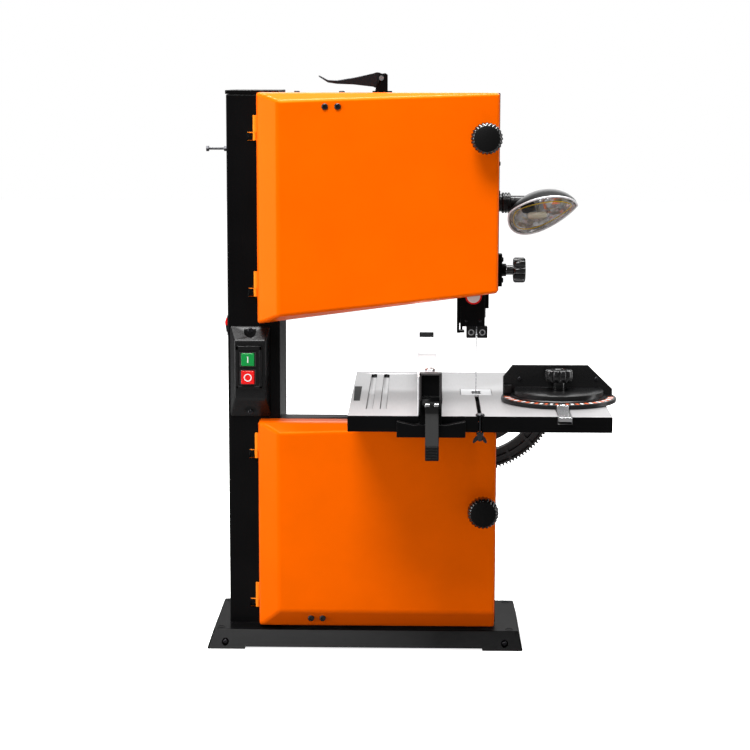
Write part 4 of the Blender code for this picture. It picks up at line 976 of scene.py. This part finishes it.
def build_lamp():
    body = BODY_OF["lamp_head"]
    half, depth = LAMP_HALF, LAMP_DEPTH
    shape = bmesh.new()
    outer = egg_rows(shape, half, depth)
    inner = egg_rows(shape, inset(half, 2.2), depth - 2.2)
    for i in range(len(outer[0])):
        j = (i + 1) % len(outer[0])
        shape.faces.new((outer[0][i], outer[0][j], inner[0][j], inner[0][i]))
    lamp_place(shape)
    shade = piece("lamp_shade", shape, "black_plastic", body, crease=50)
    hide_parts("lamp_head")
    neck = bmesh.new()
    profile = [(4, 41.8), (9.0, 41.8), (9.0, 58.0), (8.4, 66.0), (6.5, 71.0), (1, 72.0)]
    add_turned(neck, LAMP_AXIS, "X", profile, 40)
    piece("lamp_neck", neck, "black_plastic", body)
    reflector = bmesh.new()
    egg_rows(reflector, inset(half, 3.0), depth - 8.0, 26, 7)
    for i, vert in enumerate(reflector.verts):
        vert.co.z += 1.1 * math.sin(2.4 * i)
    lamp_place(reflector, 0.4)
    piece("lamp_reflector", reflector, "chrome", body, crease=4).data.shade_flat()
    bulb = bmesh.new()
    profile = [(0.6, -12.0), (3.4, -11.0), (4.6, -8.5), (4.6, 8.0), (3.4, 11.0), (0.6, 12.0)]
    add_turned(bulb, (0, 0, 0), "X", profile, 28)
    bmesh.ops.translate(bulb, vec=(-8.0, 10.0, 7.0), verts=bulb.verts)
    lamp_place(bulb)
    piece("lamp_bulb", bulb, "warm_glass", body)
    edge = bmesh.new()
    egg_band(edge, inset(half, -0.2), inset(half, 2.0), -0.5, 0.7)
    lamp_place(edge)
    piece("lamp_rim", edge, "aluminium", body)
    lines = bmesh.new()
    egg_band(lines, inset(half, 8.0), inset(half, 9.0), 1.0, 2.0)
    lamp_place(lines)
    piece("lamp_amber_line", lines, "amber", body)
    glass = bmesh.new()
    egg_rows(glass, inset(half, 2.1), 5.0, flip=-1.0)
    lamp_place(glass, -0.2)
    lens = piece("lamp_glass", glass, "clear_lens", body, crease=60)
    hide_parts("lamp_lens")
    collar = [(4.0, 26.9), (10.9, 26.9), (10.9, 30.0), (12.6, 30.4)]
    for i in range(3):
        x = 31.0 + 3.4 * i
        collar += [(12.9, x), (12.9, x + 2.0), (11.4, x + 2.4), (11.4, x + 3.0)]
    ribs = bmesh.new()
    add_turned(ribs, LAMP_AXIS, "X", collar + [(10.0, 41.4), (3.0, 41.4)], 48)
    mount = piece("lamp_collar", ribs, "black_plastic", "frame")
    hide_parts("lamp_mount")


# ---------------------------------------------------------------- camera, floor and light

def build_camera():
    yaw, pitch, roll = (math.radians(v) for v in (CAMERA_TURN, CAMERA_DOWN, CAMERA_ROLL))
    ahead = Vector((-math.sin(yaw) * math.cos(pitch), math.cos(yaw) * math.cos(pitch), -math.sin(pitch)))
    side = Vector((math.cos(yaw), math.sin(yaw), 0))
    above = side.cross(ahead)
    right = math.cos(roll) * side + math.sin(roll) * above
    top = math.cos(roll) * above - math.sin(roll) * side
    place = Matrix((right, top, -ahead)).transposed().to_4x4()
    place.translation = spot(*CAMERA_AT)
    data = bpy.data.cameras.new("camera")
    data.sensor_width = 36.0
    data.lens = CAMERA_LENS
    camera = new_object("camera", data)
    camera.matrix_world = place
    bpy.context.scene.camera = camera


def softbox(name, at, target, size, power):
    data = bpy.data.lights.new(name, "AREA")
    data.shape = "RECTANGLE"
    data.size, data.size_y = size
    data.energy = power
    lamp = new_object(name, data, at)
    lamp.rotation_euler = (Vector(target) - Vector(at)).to_track_quat("-Z", "Y").to_euler()


def studio_paper():
    """Floor paper that looks white to its horizon and throws back little light."""
    paper = surface("studio_floor", (0.9, 0.9, 0.9), 0.7, mottle=0.003, bump=0.0, specular=0.05)
    tree = paper.node_tree
    seen = tree.nodes["Principled BSDF"]
    seen.inputs["Emission Color"].default_value = (1, 1, 1, 1)
    seen.inputs["Emission Strength"].default_value = 0.88
    dull = tree.nodes.new("ShaderNodeBsdfDiffuse")
    dull.inputs["Color"].default_value = (0.22, 0.22, 0.22, 1)
    by_ray(tree, dull.outputs["BSDF"], seen.outputs["BSDF"], tree.nodes["Material Output"])
    return paper


def by_ray(tree, unseen, seen, output):
    """What lights the object and what the picture shows behind it are two different strengths."""
    path = tree.nodes.new("ShaderNodeLightPath")
    mix = tree.nodes.new("ShaderNodeMixShader")
    tree.links.new(path.outputs["Is Camera Ray"], mix.inputs["Fac"])
    tree.links.new(unseen, mix.inputs[1])
    tree.links.new(seen, mix.inputs[2])
    tree.links.new(mix.outputs["Shader"], output.inputs["Surface"])


def build_studio():
    floor = bmesh.new()
    add_box(floor, (-9000, 9000), (-9000, 9000), (-4, -0.15))
    mesh = mesh_in_metres("floor", floor)
    mesh.materials.append(studio_paper())
    new_object("floor", mesh, Vector())
    middle = (-0.05, 0, 0.38)
    softbox("top_strip", (-0.1, 0.3, 2.3), (-0.05, -0.1, 0.3), (1.8, 0.5), 95)
    softbox("front_key", (-0.6, -1.5, 2.9), middle, (1.4, 1.0), 88)
    softbox("left_softbox", (-1.9, -0.9, 0.75), middle, (0.7, 1.7), 30)
    softbox("right_softbox", (1.8, 0.1, 0.8), middle, (0.5, 1.7), 12)
    softbox("back_softbox", (0.3, 2.3, 1.6), middle, (1.8, 1.2), 14)
    world = bpy.data.worlds.new("studio")
    world.use_nodes = True
    tree = world.node_tree
    seen = tree.nodes["Background"]
    seen.inputs["Color"].default_value = (1, 1, 1, 1)
    seen.inputs["Strength"].default_value = 1.0
    ambient = tree.nodes.new("ShaderNodeBackground")
    ambient.inputs["Color"].default_value = (1, 1, 1, 1)
    ambient.inputs["Strength"].default_value = 0.26
    by_ray(tree, ambient.outputs["Background"], seen.outputs["Background"], tree.nodes["World Output"])
    bpy.context.scene.world = world
    view = bpy.context.scene.view_settings
    view.view_transform = "Standard"
    view.look = "None"
    view.exposure = 0.0


build_camera()
build_studio()
build_frame_looks()
build_doors()
build_running_gear()
build_tension_lever()
build_guides()
build_table()
build_fence()
build_miter()
build_switches()
build_lamp()
